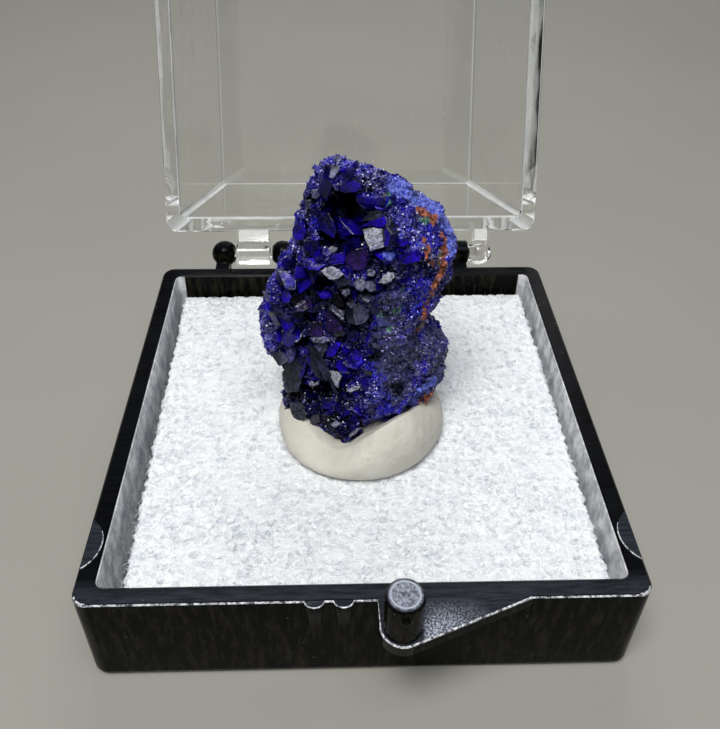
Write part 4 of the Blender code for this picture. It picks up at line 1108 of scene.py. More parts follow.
def band(lower, upper, count):
    """Quads between two rings, given by the number of each ring's first point."""
    after = [(side + 1) % count for side in range(count)]
    return [[lower + side, lower + after[side], upper + after[side], upper + side] for side in range(count)]


def body_levels(heights):
    """Left, right, front, back and ridge at each height."""
    return [np.interp(heights, LEVELS[:, 0], LEVELS[:, column]) for column in range(1, 6)]


def pocket_depth(across, height):
    """How far the front is hollowed at each place."""
    depth = np.zeros_like(across)
    for centre_x, centre_z, half_x, half_z, deep in POCKETS:
        away = np.hypot((across - centre_x) / half_x, (height - centre_z) / half_z)
        depth = np.maximum(depth, deep * clipped((1.0 - away) * POCKET_STEEPNESS))
    return depth


def body_shape():
    """The specimen's smooth form as a grid of points in millimetres: rows go up, columns go round."""
    heights = np.linspace(LEVELS[0, 0], LEVELS[-1, 0], BODY_UP)
    angles = np.linspace(0.0, math.tau, BODY_AROUND, endpoint=False)
    angle, height = np.meshgrid(angles, heights)
    left, right, front, back, ridge = body_levels(height)
    cosine, sine = np.cos(angle), np.sin(angle)
    power = np.where(sine < 0, 2.0 / FRONT_SQUARENESS, 2.0 / BACK_SQUARENESS)
    reach = np.where(cosine > 0, right - ridge, ridge - left)
    across = np.sign(cosine) * np.abs(cosine) ** power * reach
    deep = np.sign(sine) * np.abs(sine) ** power * np.where(sine > 0, back, -front)
    points = np.stack((ridge + across, deep, height), -1)
    outward = np.stack((across, deep * DEPTH_WEIGHT, np.zeros_like(deep)), -1)
    lump = wander((points / LUMP_SIZE).reshape(-1, 3), 1.0).reshape(angle.shape)
    points = points + unit(outward) * (LUMPS * lump)[..., None]
    points[..., 1] += pocket_depth(points[..., 0], height) * clipped(-sine * 2.0)
    return points


def edge_distance(places, corners):
    """Distance of picture points to the outline of a polygon, negative outside it."""
    away = np.full(len(places), 1e9)
    for start, end in zip(corners, corners[1:] + corners[:1]):
        away = np.minimum(away, line_distance(places, start, end))
    return np.where(inside_polygon(places, corners), away, -away)


def sink_hollows(points):
    """Push the front of the form inwards, along the line of sight, where the hollows lie."""
    world = to_world(points.reshape(-1, 3))
    normals = grid_normals(points).reshape(-1, 3)
    sight_lines = unit(world - np.array(EYE))
    front = clipped(-dots(normals, sight_lines) * 5.0)
    places = picture_points(world)
    sunk = np.zeros(len(places))
    for depth, soft, *corners in HOLLOWS:
        inner = clipped(edge_distance(places, corners) / soft + 0.4)
        sunk = np.maximum(sunk, depth * inner * inner * (3.0 - 2.0 * inner))
    sunk *= front
    zone = crystal_zone(world, normals)
    moved = points.reshape(-1, 3) + sight_lines * sunk[:, None] - normals * (ZONE_SET_BACK * zone)[:, None]
    return moved.reshape(points.shape), sunk


def grid_normals(points):
    """Outward directions of the grid's points."""
    round_ = np.roll(points, -1, 1) - np.roll(points, 1, 1)
    return unit(np.cross(round_, np.gradient(points, axis=0)))


def grid_faces(rows, columns):
    """Corners of the quads of a closed-round grid, with both ends capped."""
    index = np.arange(rows * columns).reshape(rows, columns)
    after = np.roll(index, -1, 1)
    quads = np.stack((index[:-1], after[:-1], after[1:], index[1:]), -1).reshape(-1, 4).tolist()
    quads.append(index[0][::-1].tolist())
    quads.append(index[-1].tolist())
    return quads


def hashed(cells, salt):
    """A repeatable random number between 0 and 1 for each whole-number cell."""
    mixed = cells[..., 0] * 73856093 ^ cells[..., 1] * 19349663 ^ cells[..., 2] * 83492791 ^ salt * 2654435761
    mixed = (mixed ^ (mixed >> 13)) * 1274126177 & 0x7FFFFFFF
    mixed = (mixed ^ (mixed >> 11)) * 668265263 & 0x7FFFFFFF
    return (mixed % 1000003) / 1000003.0


def nearest_cells(points, size):
    """Distances to the two nearest cell centres, the nearest centre and its cell, for points in 3-D."""
    scaled = points / size
    base = np.floor(scaled).astype(np.int64)
    first = np.full(len(points), 9.0)
    second = np.full(len(points), 9.0)
    centre = np.zeros_like(scaled)
    owner = np.zeros_like(base)
    for step in np.ndindex(3, 3, 3):
        cell = base + np.array(step) - 1
        spot = cell + np.stack([hashed(cell, salt) for salt in (1, 2, 3)], -1)
        away = np.linalg.norm(scaled - spot, axis=1)
        closer = away < first
        second = np.where(closer, first, np.minimum(second, away))
        first = np.where(closer, away, first)
        centre[closer] = spot[closer]
        owner[closer] = cell[closer]
    return first * size, second * size, centre * size, owner


def facet_relief(points):
    """Tilted flat facets of two sizes, as a displacement in millimetres."""
    relief = np.zeros(len(points))
    for salt, (size, steep) in enumerate(FACET_LAYERS):
        _, _, centre, owner = nearest_cells(points + 50.0 * (salt + 1), size)
        tilt = unit(np.stack([hashed(owner, 10 * salt + turn) for turn in (5, 6, 7)], -1) * 2.0 - 1.0)
        relief += steep * dots(points + 50.0 * (salt + 1) - centre, tilt)
        relief += steep * size * 0.35 * (hashed(owner, 10 * salt + 8) - 0.5)
    return relief


def to_world(points):
    """Specimen millimetres over the rim to metres in the box's frame."""
    moved = points * MM
    moved[..., 2] += RIM
    return moved


def line_distance(places, start, end):
    """Distance of picture points to a stretch of line."""
    start, end = np.array(start, float), np.array(end, float)
    run = end - start
    share = clipped((places - start) @ run / max(run @ run, 1e-9))
    return np.linalg.norm(places - start - share[:, None] * run, axis=1)


def stain_value(places, lines):
    """How strongly a stain covers each picture point, with soft edges."""
    value = np.zeros(len(places))
    for half, *stops in lines:
        for start, end in zip(stops, stops[1:]):
            away = line_distance(places, start, end)
            value = np.maximum(value, clipped(1.25 - 0.75 * away / half))
    return value


def lay_values(item, name, values):
    """Write one number for each point of a mesh, for its material."""
    layer = item.data.attributes.new(name, "FLOAT", "POINT")
    layer.data.foreach_set("value", np.asarray(values, np.float32))


def lay_stains(item, points, facing):
    """Write the stain values, and where the crust gets its painted sheen, of points in metres onto a mesh; the far
    side gets a few of its own.
    """
    places = picture_points(points) + STAIN_WANDER * wander(points, 0.8 * MM, kind=noise.noise_vector)[:, :2]
    front = clipped(towards_eye(points, facing) * 4.0 + 0.6)
    behind = (1.0 - front) * clipped(points[:, 1] / (2.0 * MM) - 0.5)
    grown = wander(points, 4.0 * MM)
    spread = wander(points, 2.2 * MM, (9.0, 0.0, 0.0))
    stains = (
        ("rust", RUST, (grown - 0.30) * 7.0),
        ("green", GREEN, (spread - 0.42) * 8.0),
        ("powder", POWDER, (-grown - 0.28) * 6.0),
        ("grey_crust", GREY_CRUST, (-spread - 0.20) * 5.0),
        ("cream", CREAM, 0.0),
        # Not a stain: where the crust gets its painted sheen, along the glints' swarms
        ("sheen", GLINTS, (spread * grown) * 12.0 - 0.2),
    )
    for name, lines, far in stains:
        lay_values(item, name, stain_value(places, lines) * front + clipped(far) * behind)


def inside_polygon(places, corners):
    """Whether picture points lie inside a polygon."""
    inside = np.zeros(len(places), bool)
    u, v = places[:, 0], places[:, 1]
    for (u0, v0), (u1, v1) in zip(corners, corners[1:] + corners[:1]):
        crosses = (v0 > v) != (v1 > v)
        if v1 != v0:
            at = u0 + (v - v0) * (u1 - u0) / (v1 - v0)
            inside ^= crosses & (u < at)
    return inside


def crystal_zone(world, facing):
    """How much each place in metres belongs to the part with large crystals, from 0 to 1."""
    places = picture_points(world)
    seen, fringe = (clipped(edge_distance(places, corners) / ZONE_EDGE + 0.5)
                    for corners in (CRYSTAL_ZONE, CRYSTAL_FRINGE))
    grown = np.clip(wander(world, 7.0 * MM) * 4.0 + 0.3, 0.0, 0.7)
    behind = clipped(world[:, 1] / (2.0 * MM) - 0.6)
    return np.where(towards_eye(world, facing) > 0, np.maximum(seen, FRINGE_SHARE * fringe), grown * behind)


def foot_shade(places):
    """Painted shade: how much darker the specimen is low down on the left, where it leans over the putty."""
    low = clipped((FOOT_TOP[0] - places[:, 2]) / FOOT_TOP[1])
    return FOOT_DARK * low * clipped((FOOT_RIGHT[0] - places[:, 0]) / FOOT_RIGHT[1])


def azurite_body(material, shape, sunk):
    """The body with its facets, which all crystals stand on."""
    normals = grid_normals(shape).reshape(-1, 3)
    flat = shape.reshape(-1, 3)
    relief = facet_relief(flat)
    rough = flat + normals * relief[:, None]
    points = to_world(rough)
    item = mesh_object("azurite_body", points, grid_faces(BODY_UP, BODY_AROUND), material)
    lay_stains(item, points, normals)
    zone = crystal_zone(to_world(flat), normals)
    # Painted shade on the body: in the hollows and low facets, over the part with large crystals and on the foot
    low = np.clip(0.12 - relief * 0.9, 0.0, 0.5)
    lay_values(item, "deep", clipped(sunk / 1.6 + low + 0.55 * zone + foot_shade(flat)))
    belongs(item, "box", "azurite", "azurite_specimen")
    return rough.reshape(shape.shape)


def body_tree(shape):
    """A tree of the smooth form, for casting rays on it."""
    points = to_world(shape.reshape(-1, 3))
    return BVHTree.FromPolygons(points.tolist(), grid_faces(*shape.shape[:2]))


def ragged(corners, rng):
    """Picture corners with chipped stretches between them."""
    outline = []
    for start, end in zip(corners, corners[1:] + corners[:1]):
        run = np.array(end, float) - start
        length = np.linalg.norm(run)
        aside = np.array((-run[1], run[0])) / length
        parts = max(1, round(length / FACE_CHIP))
        for part in range(parts):
            off = rng.uniform(-1.0, 1.0) * (FACE_CHIP_DEPTH if part else FACE_CHIP_DEPTH * 0.5)
            share = (part + (rng.uniform(-0.25, 0.25) if part else 0.0)) / parts
            outline.append(tuple(start + run * share + aside * off))
    return outline


def face_solid(bm, tree, facing, proud, turn, corners, shade, grown):
    """A crystal whose visible face has the given corners in the picture."""
    middle = np.mean(corners, axis=0)
    line = sight(*middle)
    hit = tree.ray_cast(EYE, line)[0]
    if hit is None:
        return
    normal = facing.normalized()
    origin = hit - line * (proud + FACE_PROUD) * MM
    buried = 0.0
    for corner in corners:
        ray = sight(*corner)
        reach = (origin - EYE).dot(normal) / ray.dot(normal)
        body = tree.ray_cast(EYE, ray)[3]
        if body is not None:
            buried = max(buried, reach - body + FACE_CLEAR)
    origin = origin - line * min(buried, FACE_LIFT)
    ring = []
    for corner in ragged(corners, grown):
        ray = sight(*corner)
        ring.append(EYE + ray * ((origin - EYE).dot(normal) / ray.dot(normal)))
    centre = sum(ring, Vector()) / len(ring)
    inward = (line * 0.9 - normal * 0.35).normalized()
    reach = sum((point - centre).length for point in ring) / len(ring)
    wider = 1.0 + 0.6 * FACE_CHAMFER * MM / reach
    root = FACE_ROOT + min(buried, FACE_LIFT)
    top = [bm.verts.new(centre + (point - centre) / wider) for point in ring]
    edge = [bm.verts.new(centre + (point - centre) * wider - normal * FACE_CHAMFER * MM) for point in ring]
    neck = [bm.verts.new(centre + (point - centre) * wider * 0.99 + inward * FACE_NECK) for point in ring]
    base = [bm.verts.new(centre + (point - centre) * FACE_TAPER + inward * root) for point in ring]
    # Painted shade: each face darkens towards one side, and its walls darken down to the root
    low = bm.verts.layers.float["deep"]
    way = (ring[0] - centre).lerp(ring[1] - centre, grown.random()).normalized()
    for vertex, rim in zip(top, edge):
        dusk = shade * (0.5 + 0.5 * (vertex.co - centre).dot(way) / reach)
        vertex[low] = rim[low] = min(max(dusk, 0.0), 0.96)
    for vertex in neck:
        vertex[low] = 0.90
    for vertex in base:
        vertex[low] = 1.0
    face = bm.faces.new(top)
    bm.faces.new(base[::-1]).material_index = 1
    for index in range(len(top)):
        after = (index + 1) % len(top)
        for upper, lower, finish in ((top, edge, 0), (edge, neck, 1), (neck, base, 1)):
            bm.faces.new((upper[index], lower[index], lower[after], upper[after])).material_index = finish
    cut_growth_lines(bm, face, normal, turn, grown)


def cut_growth_lines(bm, face, normal, turn, rng):
    """Cut the face into narrow strips along its growth lines and lift each line a little."""
    right = Vector((0.0, 0.0, 1.0)).cross(normal) * -1.0
    right.normalize()
    rise = right.cross(normal) * -1.0
    angle = math.radians(turn)
    along = right * math.cos(angle) + rise * math.sin(angle)
    across = normal.cross(along).normalized()
    points = [vertex.co.copy() for vertex in face.verts]
    spread = [point.dot(across) for point in points]
    place = min(spread) + FACE_LINES * rng.uniform(0.5, 1.0)
    geometry = [face, *face.edges, *face.verts]
    lines = []
    while place < max(spread) - FACE_LINES * 0.4:
        cut = bmesh.ops.bisect_plane(bm, geom=geometry, plane_co=across * place, plane_no=across,
                                     dist=0.0001 * MM)
        geometry = [item for item in cut["geom"] if item.is_valid]
        lines.append([item for item in cut["geom_cut"] if isinstance(item, bmesh.types.BMVert)])
        place += FACE_LINES * rng.uniform(0.35, 1.6)
    for line in lines:
        lift = normal * FACE_LINE_RISE * rng.uniform(-1.0, 1.0)
        for vertex in line:
            if vertex.is_valid:
                vertex.co += lift
    write_growth_map(bm, along, across)


def write_growth_map(bm, along, across):
    """Give every face that has no map yet one in millimetres, along and across the growth lines."""
    layer = bm.loops.layers.uv["growth"]
    done = bm.faces.layers.int["mapped"]
    for face in bm.faces:
        if face[done]:
            continue
        face[done] = 1
        for loop in face.loops:
            loop[layer].uv = (loop.vert.co.dot(along) / MM, loop.vert.co.dot(across) / MM)


def large_crystals(tree):
    """All crystals that can be told apart in the picture, one piece for each finish."""
    rng = random.Random(FACE_SEED)
    sides = azurite_face("azurite_side", *SIDE_FINISH)
    for finish, rows in FACES.items():
        *look, shade = FINISHES[finish]
        bm = bmesh.new()
        bm.loops.layers.uv.new("growth")
        bm.faces.layers.int.new("mapped")
        bm.verts.layers.float.new("deep")
        for facing, proud, turn, *corners in rows:
            face_solid(bm, tree, facing, proud, turn, corners, shade, rng)
        bmesh.ops.recalc_face_normals(bm, faces=bm.faces)
        mesh = bpy.data.meshes.new("azurite_" + finish)
        bm.to_mesh(mesh)
        bm.free()
        mesh.materials.append(azurite_face("azurite_" + finish, *look))
        mesh.materials.append(sides)
        belongs(placed("azurite_" + finish, mesh), "box", "azurite")


def scattered(shape, normals, sunk, count, rng):
    """Random places on the body by area, with the way the surface faces and how far it is sunk."""
    rows, columns = shape.shape[:2]
    across = np.linalg.norm(np.roll(shape, -1, 1) - shape, axis=-1)[:-1]
    up = np.linalg.norm(np.diff(shape, axis=0), axis=-1)
    area = (across * up).ravel()
    chosen = rng.choice(area.size, count, p=area / area.sum())
    row, column = np.divmod(chosen, columns)
    share = rng.random((count, 2))
    after = (column + 1) % columns
    low = shape[row, column] * (1 - share[:, :1]) + shape[row, after] * share[:, :1]
    high = shape[row + 1, column] * (1 - share[:, :1]) + shape[row + 1, after] * share[:, :1]
    places = low * (1 - share[:, 1:]) + high * share[:, 1:]
    return places, normals[row, column], sunk.reshape(rows, columns)[row, column]


def slanted(points, slope):
    """Raise points by a slope across the crystal."""
    return [(x, y, z + slope[0] * x + slope[1] * y) for x, y, z in points]


def small_crystal_form():
    """A crystal of length, width and thickness 1: a four-sided prism with a slanted end."""
    ring = ((0.5, -0.12), (0.1, 0.5), (-0.5, 0.14), (-0.12, -0.5))
    points = [(x, y, 0.0) for x, y in ring] + slanted([(x, y, 0.8) for x, y in ring], (0.35, 0.2))
    return np.array(points), band(0, 4, 4) + [[4, 5, 6, 7]]


def prism(ring, slope, root=0.86, chamfer=0.84):
    """A prism of length 1 on a ring of corners, with a chamfered slanted end."""
    sides = len(ring)
    points = [(x * root, y * root, 0.0) for x, y in ring]
    points += slanted([(x, y, 0.82) for x, y in ring], slope)
    points += slanted([(x * chamfer, y * chamfer, 0.90) for x, y in ring], slope)
    faces = [list(range(sides))[::-1]] + band(0, sides, sides) + band(sides, 2 * sides, sides)
    faces.append(list(range(2 * sides, 3 * sides)))
    return np.array(points), faces


def chisel():
    """A prism of length 1 whose end is a sharp roof with two unequal slopes."""
    ring = ((0.5, 0.06), (0.34, 0.5), (-0.42, 0.46), (-0.5, -0.1), (-0.28, -0.5), (0.38, -0.44))
    points = [(x * 0.9, y * 0.9, 0.0) for x, y in ring] + [(x, y, 0.62) for x, y in ring]
    points += [(0.40, 0.14, 0.94), (-0.34, 0.10, 1.0)]
    roof = [[6, 7, 12], [7, 8, 13, 12], [8, 9, 13], [9, 10, 13], [10, 11, 12, 13], [11, 6, 12]]
    return np.array(points), band(0, 6, 6) + roof


def crystal_forms():
    """The four habits of the large crystals."""
    return (
        prism(((0.5, 0.03), (0.30, 0.48), (-0.26, 0.5), (-0.5, -0.04), (-0.30, -0.5), (0.24, -0.47)), (0.45, -0.30)),
        chisel(),
        prism(((0.5, -0.30), (0.42, 0.46), (-0.18, 0.5), (-0.5, 0.22), (-0.36, -0.5)), (-0.35, 0.40)),
        prism(((0.5, 0.36), (-0.44, 0.5), (-0.5, -0.42), (0.30, -0.5)), (0.62, 0.18), 0.92, 0.9),
    )


def turned_axes(up, face):
    """Rotation matrices whose third axis is up and whose second is nearest to face."""
    up = unit(up)
    face = unit(face - up * dots(face, up)[:, None])
    return np.stack((np.cross(face, up), face, up), -1)


def clear_of_faces(world, facing, widths):
    """Whether crystals of these widths in mm leave free the large faces drawn from the picture."""
    seen = picture_points(world)
    front = towards_eye(world, facing) > 0
    free = np.ones(len(world), bool)
    for rows in FACES.values():
        for _, _, _, *corners in rows:
            free &= ~((edge_distance(seen, corners) > -FACE_MARGIN * widths) & front)
    return free


def away_from_outline(world, facing):
    """A share that falls where the surface turns away from the camera, to keep crystals low there."""
    return np.clip(np.abs(towards_eye(world, facing)) * 2.2 + 0.4, 0.4, 1.0)


def stand_crystals(name, form, faces, scale, axes, roots, facing, material, deep, rng, jitter):
    """A mesh of many crystals, each scaled, turned and set on its root."""
    count, size = len(roots), len(form)
    bend = rng.uniform(1.0 - jitter, 1.0 + jitter, (count, size, 3))
    local = form[None] * scale[:, None] * bend
    points = np.einsum("nij,nmj->nmi", axes, local) + roots[:, None]
    corners = []
    for start in range(0, count * size, size):
        corners += [[start + corner for corner in face] for face in faces]
    world = to_world(points.reshape(-1, 3))
    item = mesh_object(name, world, corners, material)
    flat = local.reshape(-1, 3)
    along = flat[:, 2] + 0.3 * flat[:, 0]
    across = 0.8 * flat[:, 0] + 0.6 * flat[:, 1] + np.repeat(np.arange(count) * 3.7, size)
    layer = item.data.uv_layers.new(name="growth")
    order = np.concatenate([np.array(face) for face in corners])
    layer.data.foreach_set("uv", np.stack((along, across), -1)[order].ravel())
    lay_stains(item, world, np.repeat(facing, size, axis=0))
    lay_values(item, "deep", deep.ravel())
    belongs(item, "box", "azurite")


def set_apart(places, widths, gap):
    """Keep crystals, largest first, that stand at least a share of their widths apart."""
    order = np.argsort(-widths)
    kept = []
    for index in order:
        near = np.linalg.norm(places[kept] - places[index], axis=1) if kept else np.array([9.0])
        reach = gap * 0.5 * (widths[kept] + widths[index]) if kept else np.array([0.0])
        if (near > reach).all():
            kept.append(index)
    return np.array(kept)


def inside_outline(tree, ends, axes, scale):
    """Whether crystals, both their tops and their roots, stay within the body's outline as the camera sees it."""
    spots = [ends - axes[..., 2] * scale[:, 2:]]
    for across, deep in ((-0.4, -0.4), (-0.4, 0.4), (0.4, -0.4), (0.4, 0.4)):
        spots.append(ends + axes[..., 0] * scale[:, :1] * across + axes[..., 1] * scale[:, 1:2] * deep)
    seen = np.ones(len(ends), bool)
    for spot in spots:
        lines = to_world(spot) - np.array(EYE)
        seen &= [tree.ray_cast(EYE, Vector(line))[0] is not None for line in lines]
    return seen


def blocky_crystals(shape, normals, sunk, tree, material):
    """Large blocky crystals that crowd the open side and stand here and there elsewhere."""
    rng = np.random.default_rng(CRYSTAL_SEED)
    places, facing, depth = scattered(shape, normals, sunk, CRYSTAL_TRIES, rng)
    world = to_world(places)
    zone = crystal_zone(world, facing)
    share = rng.random(len(places)) ** 1.15
    calm = away_from_outline(world, facing)
    widths = np.interp(share, (0, 1), CRYSTAL_WIDTH) * (0.36 + 0.64 * zone) * calm
    likely = (0.12 + 1.6 * zone) * np.clip(1.3 - depth / 1.1, 0.05, 1.0) * np.clip(calm * 1.8 - 0.6, 0.1, 1.0)
    keep = clear_of_faces(world, facing, widths) & (rng.random(len(places)) < likely)
    places, facing, widths, zone, depth = picked(keep, places, facing, widths, zone, depth)
    kept = set_apart(places, widths, CRYSTAL_APART)
    places, facing, widths, zone, depth = picked(kept, places, facing, widths, zone, depth)
    count = len(places)
    up = unit(facing + np.array(CRYSTAL_LIFT) + rng.normal(size=(count, 3)) * CRYSTAL_LEAN)
    short = np.clip(CRYSTAL_UPRIGHT - dots(up, facing), 0.0, 2.0)
    axes = turned_axes(up + facing * (short * 1.4)[:, None], rng.normal(size=(count, 3)))
    thick = widths * rng.uniform(*CRYSTAL_THICKNESS, count)
    length = np.minimum(widths * rng.uniform(*CRYSTAL_LENGTH, count), CRYSTAL_LONGEST)
    upright = np.abs(dots(axes[..., 2], facing))
    stand = (CRYSTAL_PROUD[0] + CRYSTAL_PROUD[1] * widths) * upright * (0.5 + 0.5 * zone)
    roots = places + facing * stand[:, None] - axes[..., 2] * (length * 0.9)[:, None]
    scale = np.stack((widths, thick, length), -1)
    seen = inside_outline(tree, places + facing * stand[:, None], axes, scale)
    places, facing, axes, scale, roots, length, upright, stand, zone, depth = picked(
        seen, places, facing, axes, scale, roots, length, upright, stand, zone, depth)
    for number, (form, faces) in enumerate(crystal_forms()):
        own = slice(number, None, len(crystal_forms()))
        rise = (form[:, 2][None] - 0.9) * length[own][:, None] * upright[own][:, None] + stand[own][:, None]
        # Painted shade: darker towards each crystal's root, in the hollows and on the foot
        deep = clipped(0.55 - rise * 1.1) * clipped(0.3 + zone[own])[:, None]
        deep = np.clip(deep + (depth[own] / 2.4 + foot_shade(places[own]))[:, None], 0.0, 0.9)
        stand_crystals(f"azurite_blocks_{number + 1}", form, faces, scale[own], axes[own], roots[own],
                       facing[own], material, deep, rng, CRYSTAL_JITTER)
    return places, facing, axes, scale


def glints(shape, normals, sunk, material):
    """Swarms of tiny crystals whose ends face the same way and catch the light together."""
    rng = np.random.default_rng(GLINT_SEED)
    places, facing, depth = scattered(shape, normals, sunk, GLINT_TRIES, rng)
    world = to_world(places)
    front = towards_eye(world, facing) > 0
    likely = GLINT_LIKELY * stain_value(picture_points(world), GLINTS) * front + GLINT_STRAY
    keep = rng.random(len(places)) < likely * np.clip(1.0 - depth, 0.1, 1.0)
    places, facing = places[keep], facing[keep]
    count = len(places)
    up = np.array(GLEAM) + rng.normal(size=(count, 3)) * GLINT_SPREAD
    axes = turned_axes(up, rng.normal(size=(count, 3)))
    width = np.interp(rng.random(count) ** 1.7, (0, 1), GLINT_SIZE)
    length = width * rng.uniform(1.0, 1.8, count)
    ring = ((0.5, -0.2), (0.32, 0.5), (-0.4, 0.42), (-0.5, -0.2), (0.0, -0.5))
    form, faces = prism(ring, (0.0, 0.0), 0.9, 0.9)
    scale = np.stack((width, width * rng.uniform(0.45, 1.0, count), length), -1)
    upright = np.abs(dots(axes[..., 2], facing))
    stand = length * 0.55 * upright + width * 0.1
    roots = places + facing * stand[:, None] - axes[..., 2] * (length * 0.9)[:, None]
    stand_crystals("azurite_glints", form, faces, scale, axes, roots, facing, material,
                   np.zeros((count, len(form))), rng, GLINT_JITTER)


def grown_on_crystals(blocks, material):
    """Tiny crystals that grow on the large blocky ones."""
    places, facing, axes, scale = blocks
    rng = np.random.default_rng(CRYSTAL_SEED + 1)
    area = scale[:, 0] * scale[:, 1]
    chosen = rng.choice(len(places), GROWN_ON_COUNT, p=area / area.sum())
    turn = rng.uniform(0.0, math.tau, GROWN_ON_COUNT)
    own, size = axes[chosen], scale[chosen]
    out = own[..., 0] * np.cos(turn)[:, None] + own[..., 1] * np.sin(turn)[:, None]
    height = rng.uniform(-0.1, 0.3, GROWN_ON_COUNT)
    reach = 0.5 * rng.uniform(0.6, 0.9, GROWN_ON_COUNT)
    spots = places[chosen] + own[..., 2] * (height * size[:, 2])[:, None]
    spots += own[..., 0] * (np.cos(turn) * reach * size[:, 0])[:, None]
    spots += own[..., 1] * (np.sin(turn) * reach * size[:, 1])[:, None]
    own_axes = turned_axes(out + own[..., 2] * 0.6 + rng.normal(size=out.shape) * 0.5,
                           rng.normal(size=out.shape))
    width = rng.uniform(*GROWN_ON_WIDTH, GROWN_ON_COUNT)
    scale = np.stack((width, width * rng.uniform(0.4, 0.9, GROWN_ON_COUNT), width * 1.5), -1)
    form, faces = small_crystal_form()
    # A little painted shade on each tiny crystal
    deep = np.full((GROWN_ON_COUNT, len(form)), 0.1)
    stand_crystals("azurite_grown_on", form, faces, scale, own_axes, spots - out * 0.12, facing[chosen], material,
                   deep, rng, SMALL_JITTER)


def druse(shape, normals, sunk, material):
    """The crust of tiny crystals all over the body, thinner where the large crystals stand."""
    rng = np.random.default_rng(DRUSE_SEED)
    places, facing, depth = scattered(shape, normals, sunk, DRUSE_COUNT, rng)
    world = to_world(places)
    zone = crystal_zone(world, facing)
    keep = clear_of_faces(world, facing, np.zeros(len(world))) & (rng.random(len(places)) > DRUSE_SPARED * zone)
    places, facing, zone, depth = picked(keep, places, facing, zone, depth)
    count = len(places)
    lean = wander(places, DRUSE_PATCH, kind=noise.noise_vector)
    turn = wander(places, DRUSE_PATCH, DRUSE_TURN, noise.noise_vector)
    axes = turned_axes(facing + lean * 1.6 + rng.normal(size=places.shape) * DRUSE_LEAN,
                       turn + rng.normal(size=places.shape) * 0.12)
    size = rng.random(count) ** 1.8
    length = np.interp(size, (0, 1), DRUSE_LENGTH)
    width = np.interp(size, (0, 1), DRUSE_WIDTH) * rng.uniform(0.8, 1.2, count)
    thick = width * rng.uniform(*DRUSE_THICKNESS, count)
    form, faces = small_crystal_form()
    roots = places - facing * (length * DRUSE_SUNK)[:, None]
    scale = np.stack((width, thick, length), -1)
    # Painted shade over the part with large crystals, in the hollows and on the foot, with some random tone
    low = clipped(0.45 * zone + 0.25 * rng.random(count) + depth / 2.0 + foot_shade(places))
    deep = low[:, None] * np.ones((1, len(form)))
    for part in range(DRUSE_PARTS):
        own = slice(part, None, DRUSE_PARTS)
        stand_crystals(f"azurite_druse_{part + 1}", form, faces, scale[own], axes[own], roots[own], facing[own],
                       material, deep[own], rng, SMALL_JITTER)


def foam_relief(points):
    """Pits of the foam's cells in two sizes, and slow waves, in millimetres."""
    first, second, _, owner = nearest_cells(points + 20.0, FOAM_CELL)
    wall = clipped((second - first) / (0.55 * FOAM_CELL))
    deep = FOAM_PIT * wall * (0.45 + 0.55 * hashed(owner, 4))
    first, second, _, owner = nearest_cells(points + 70.0, FOAM_SMALL_CELL)
    small = FOAM_SMALL_PIT * clipped((second - first) / (0.5 * FOAM_SMALL_CELL))
    return deep + small * hashed(owner, 9)


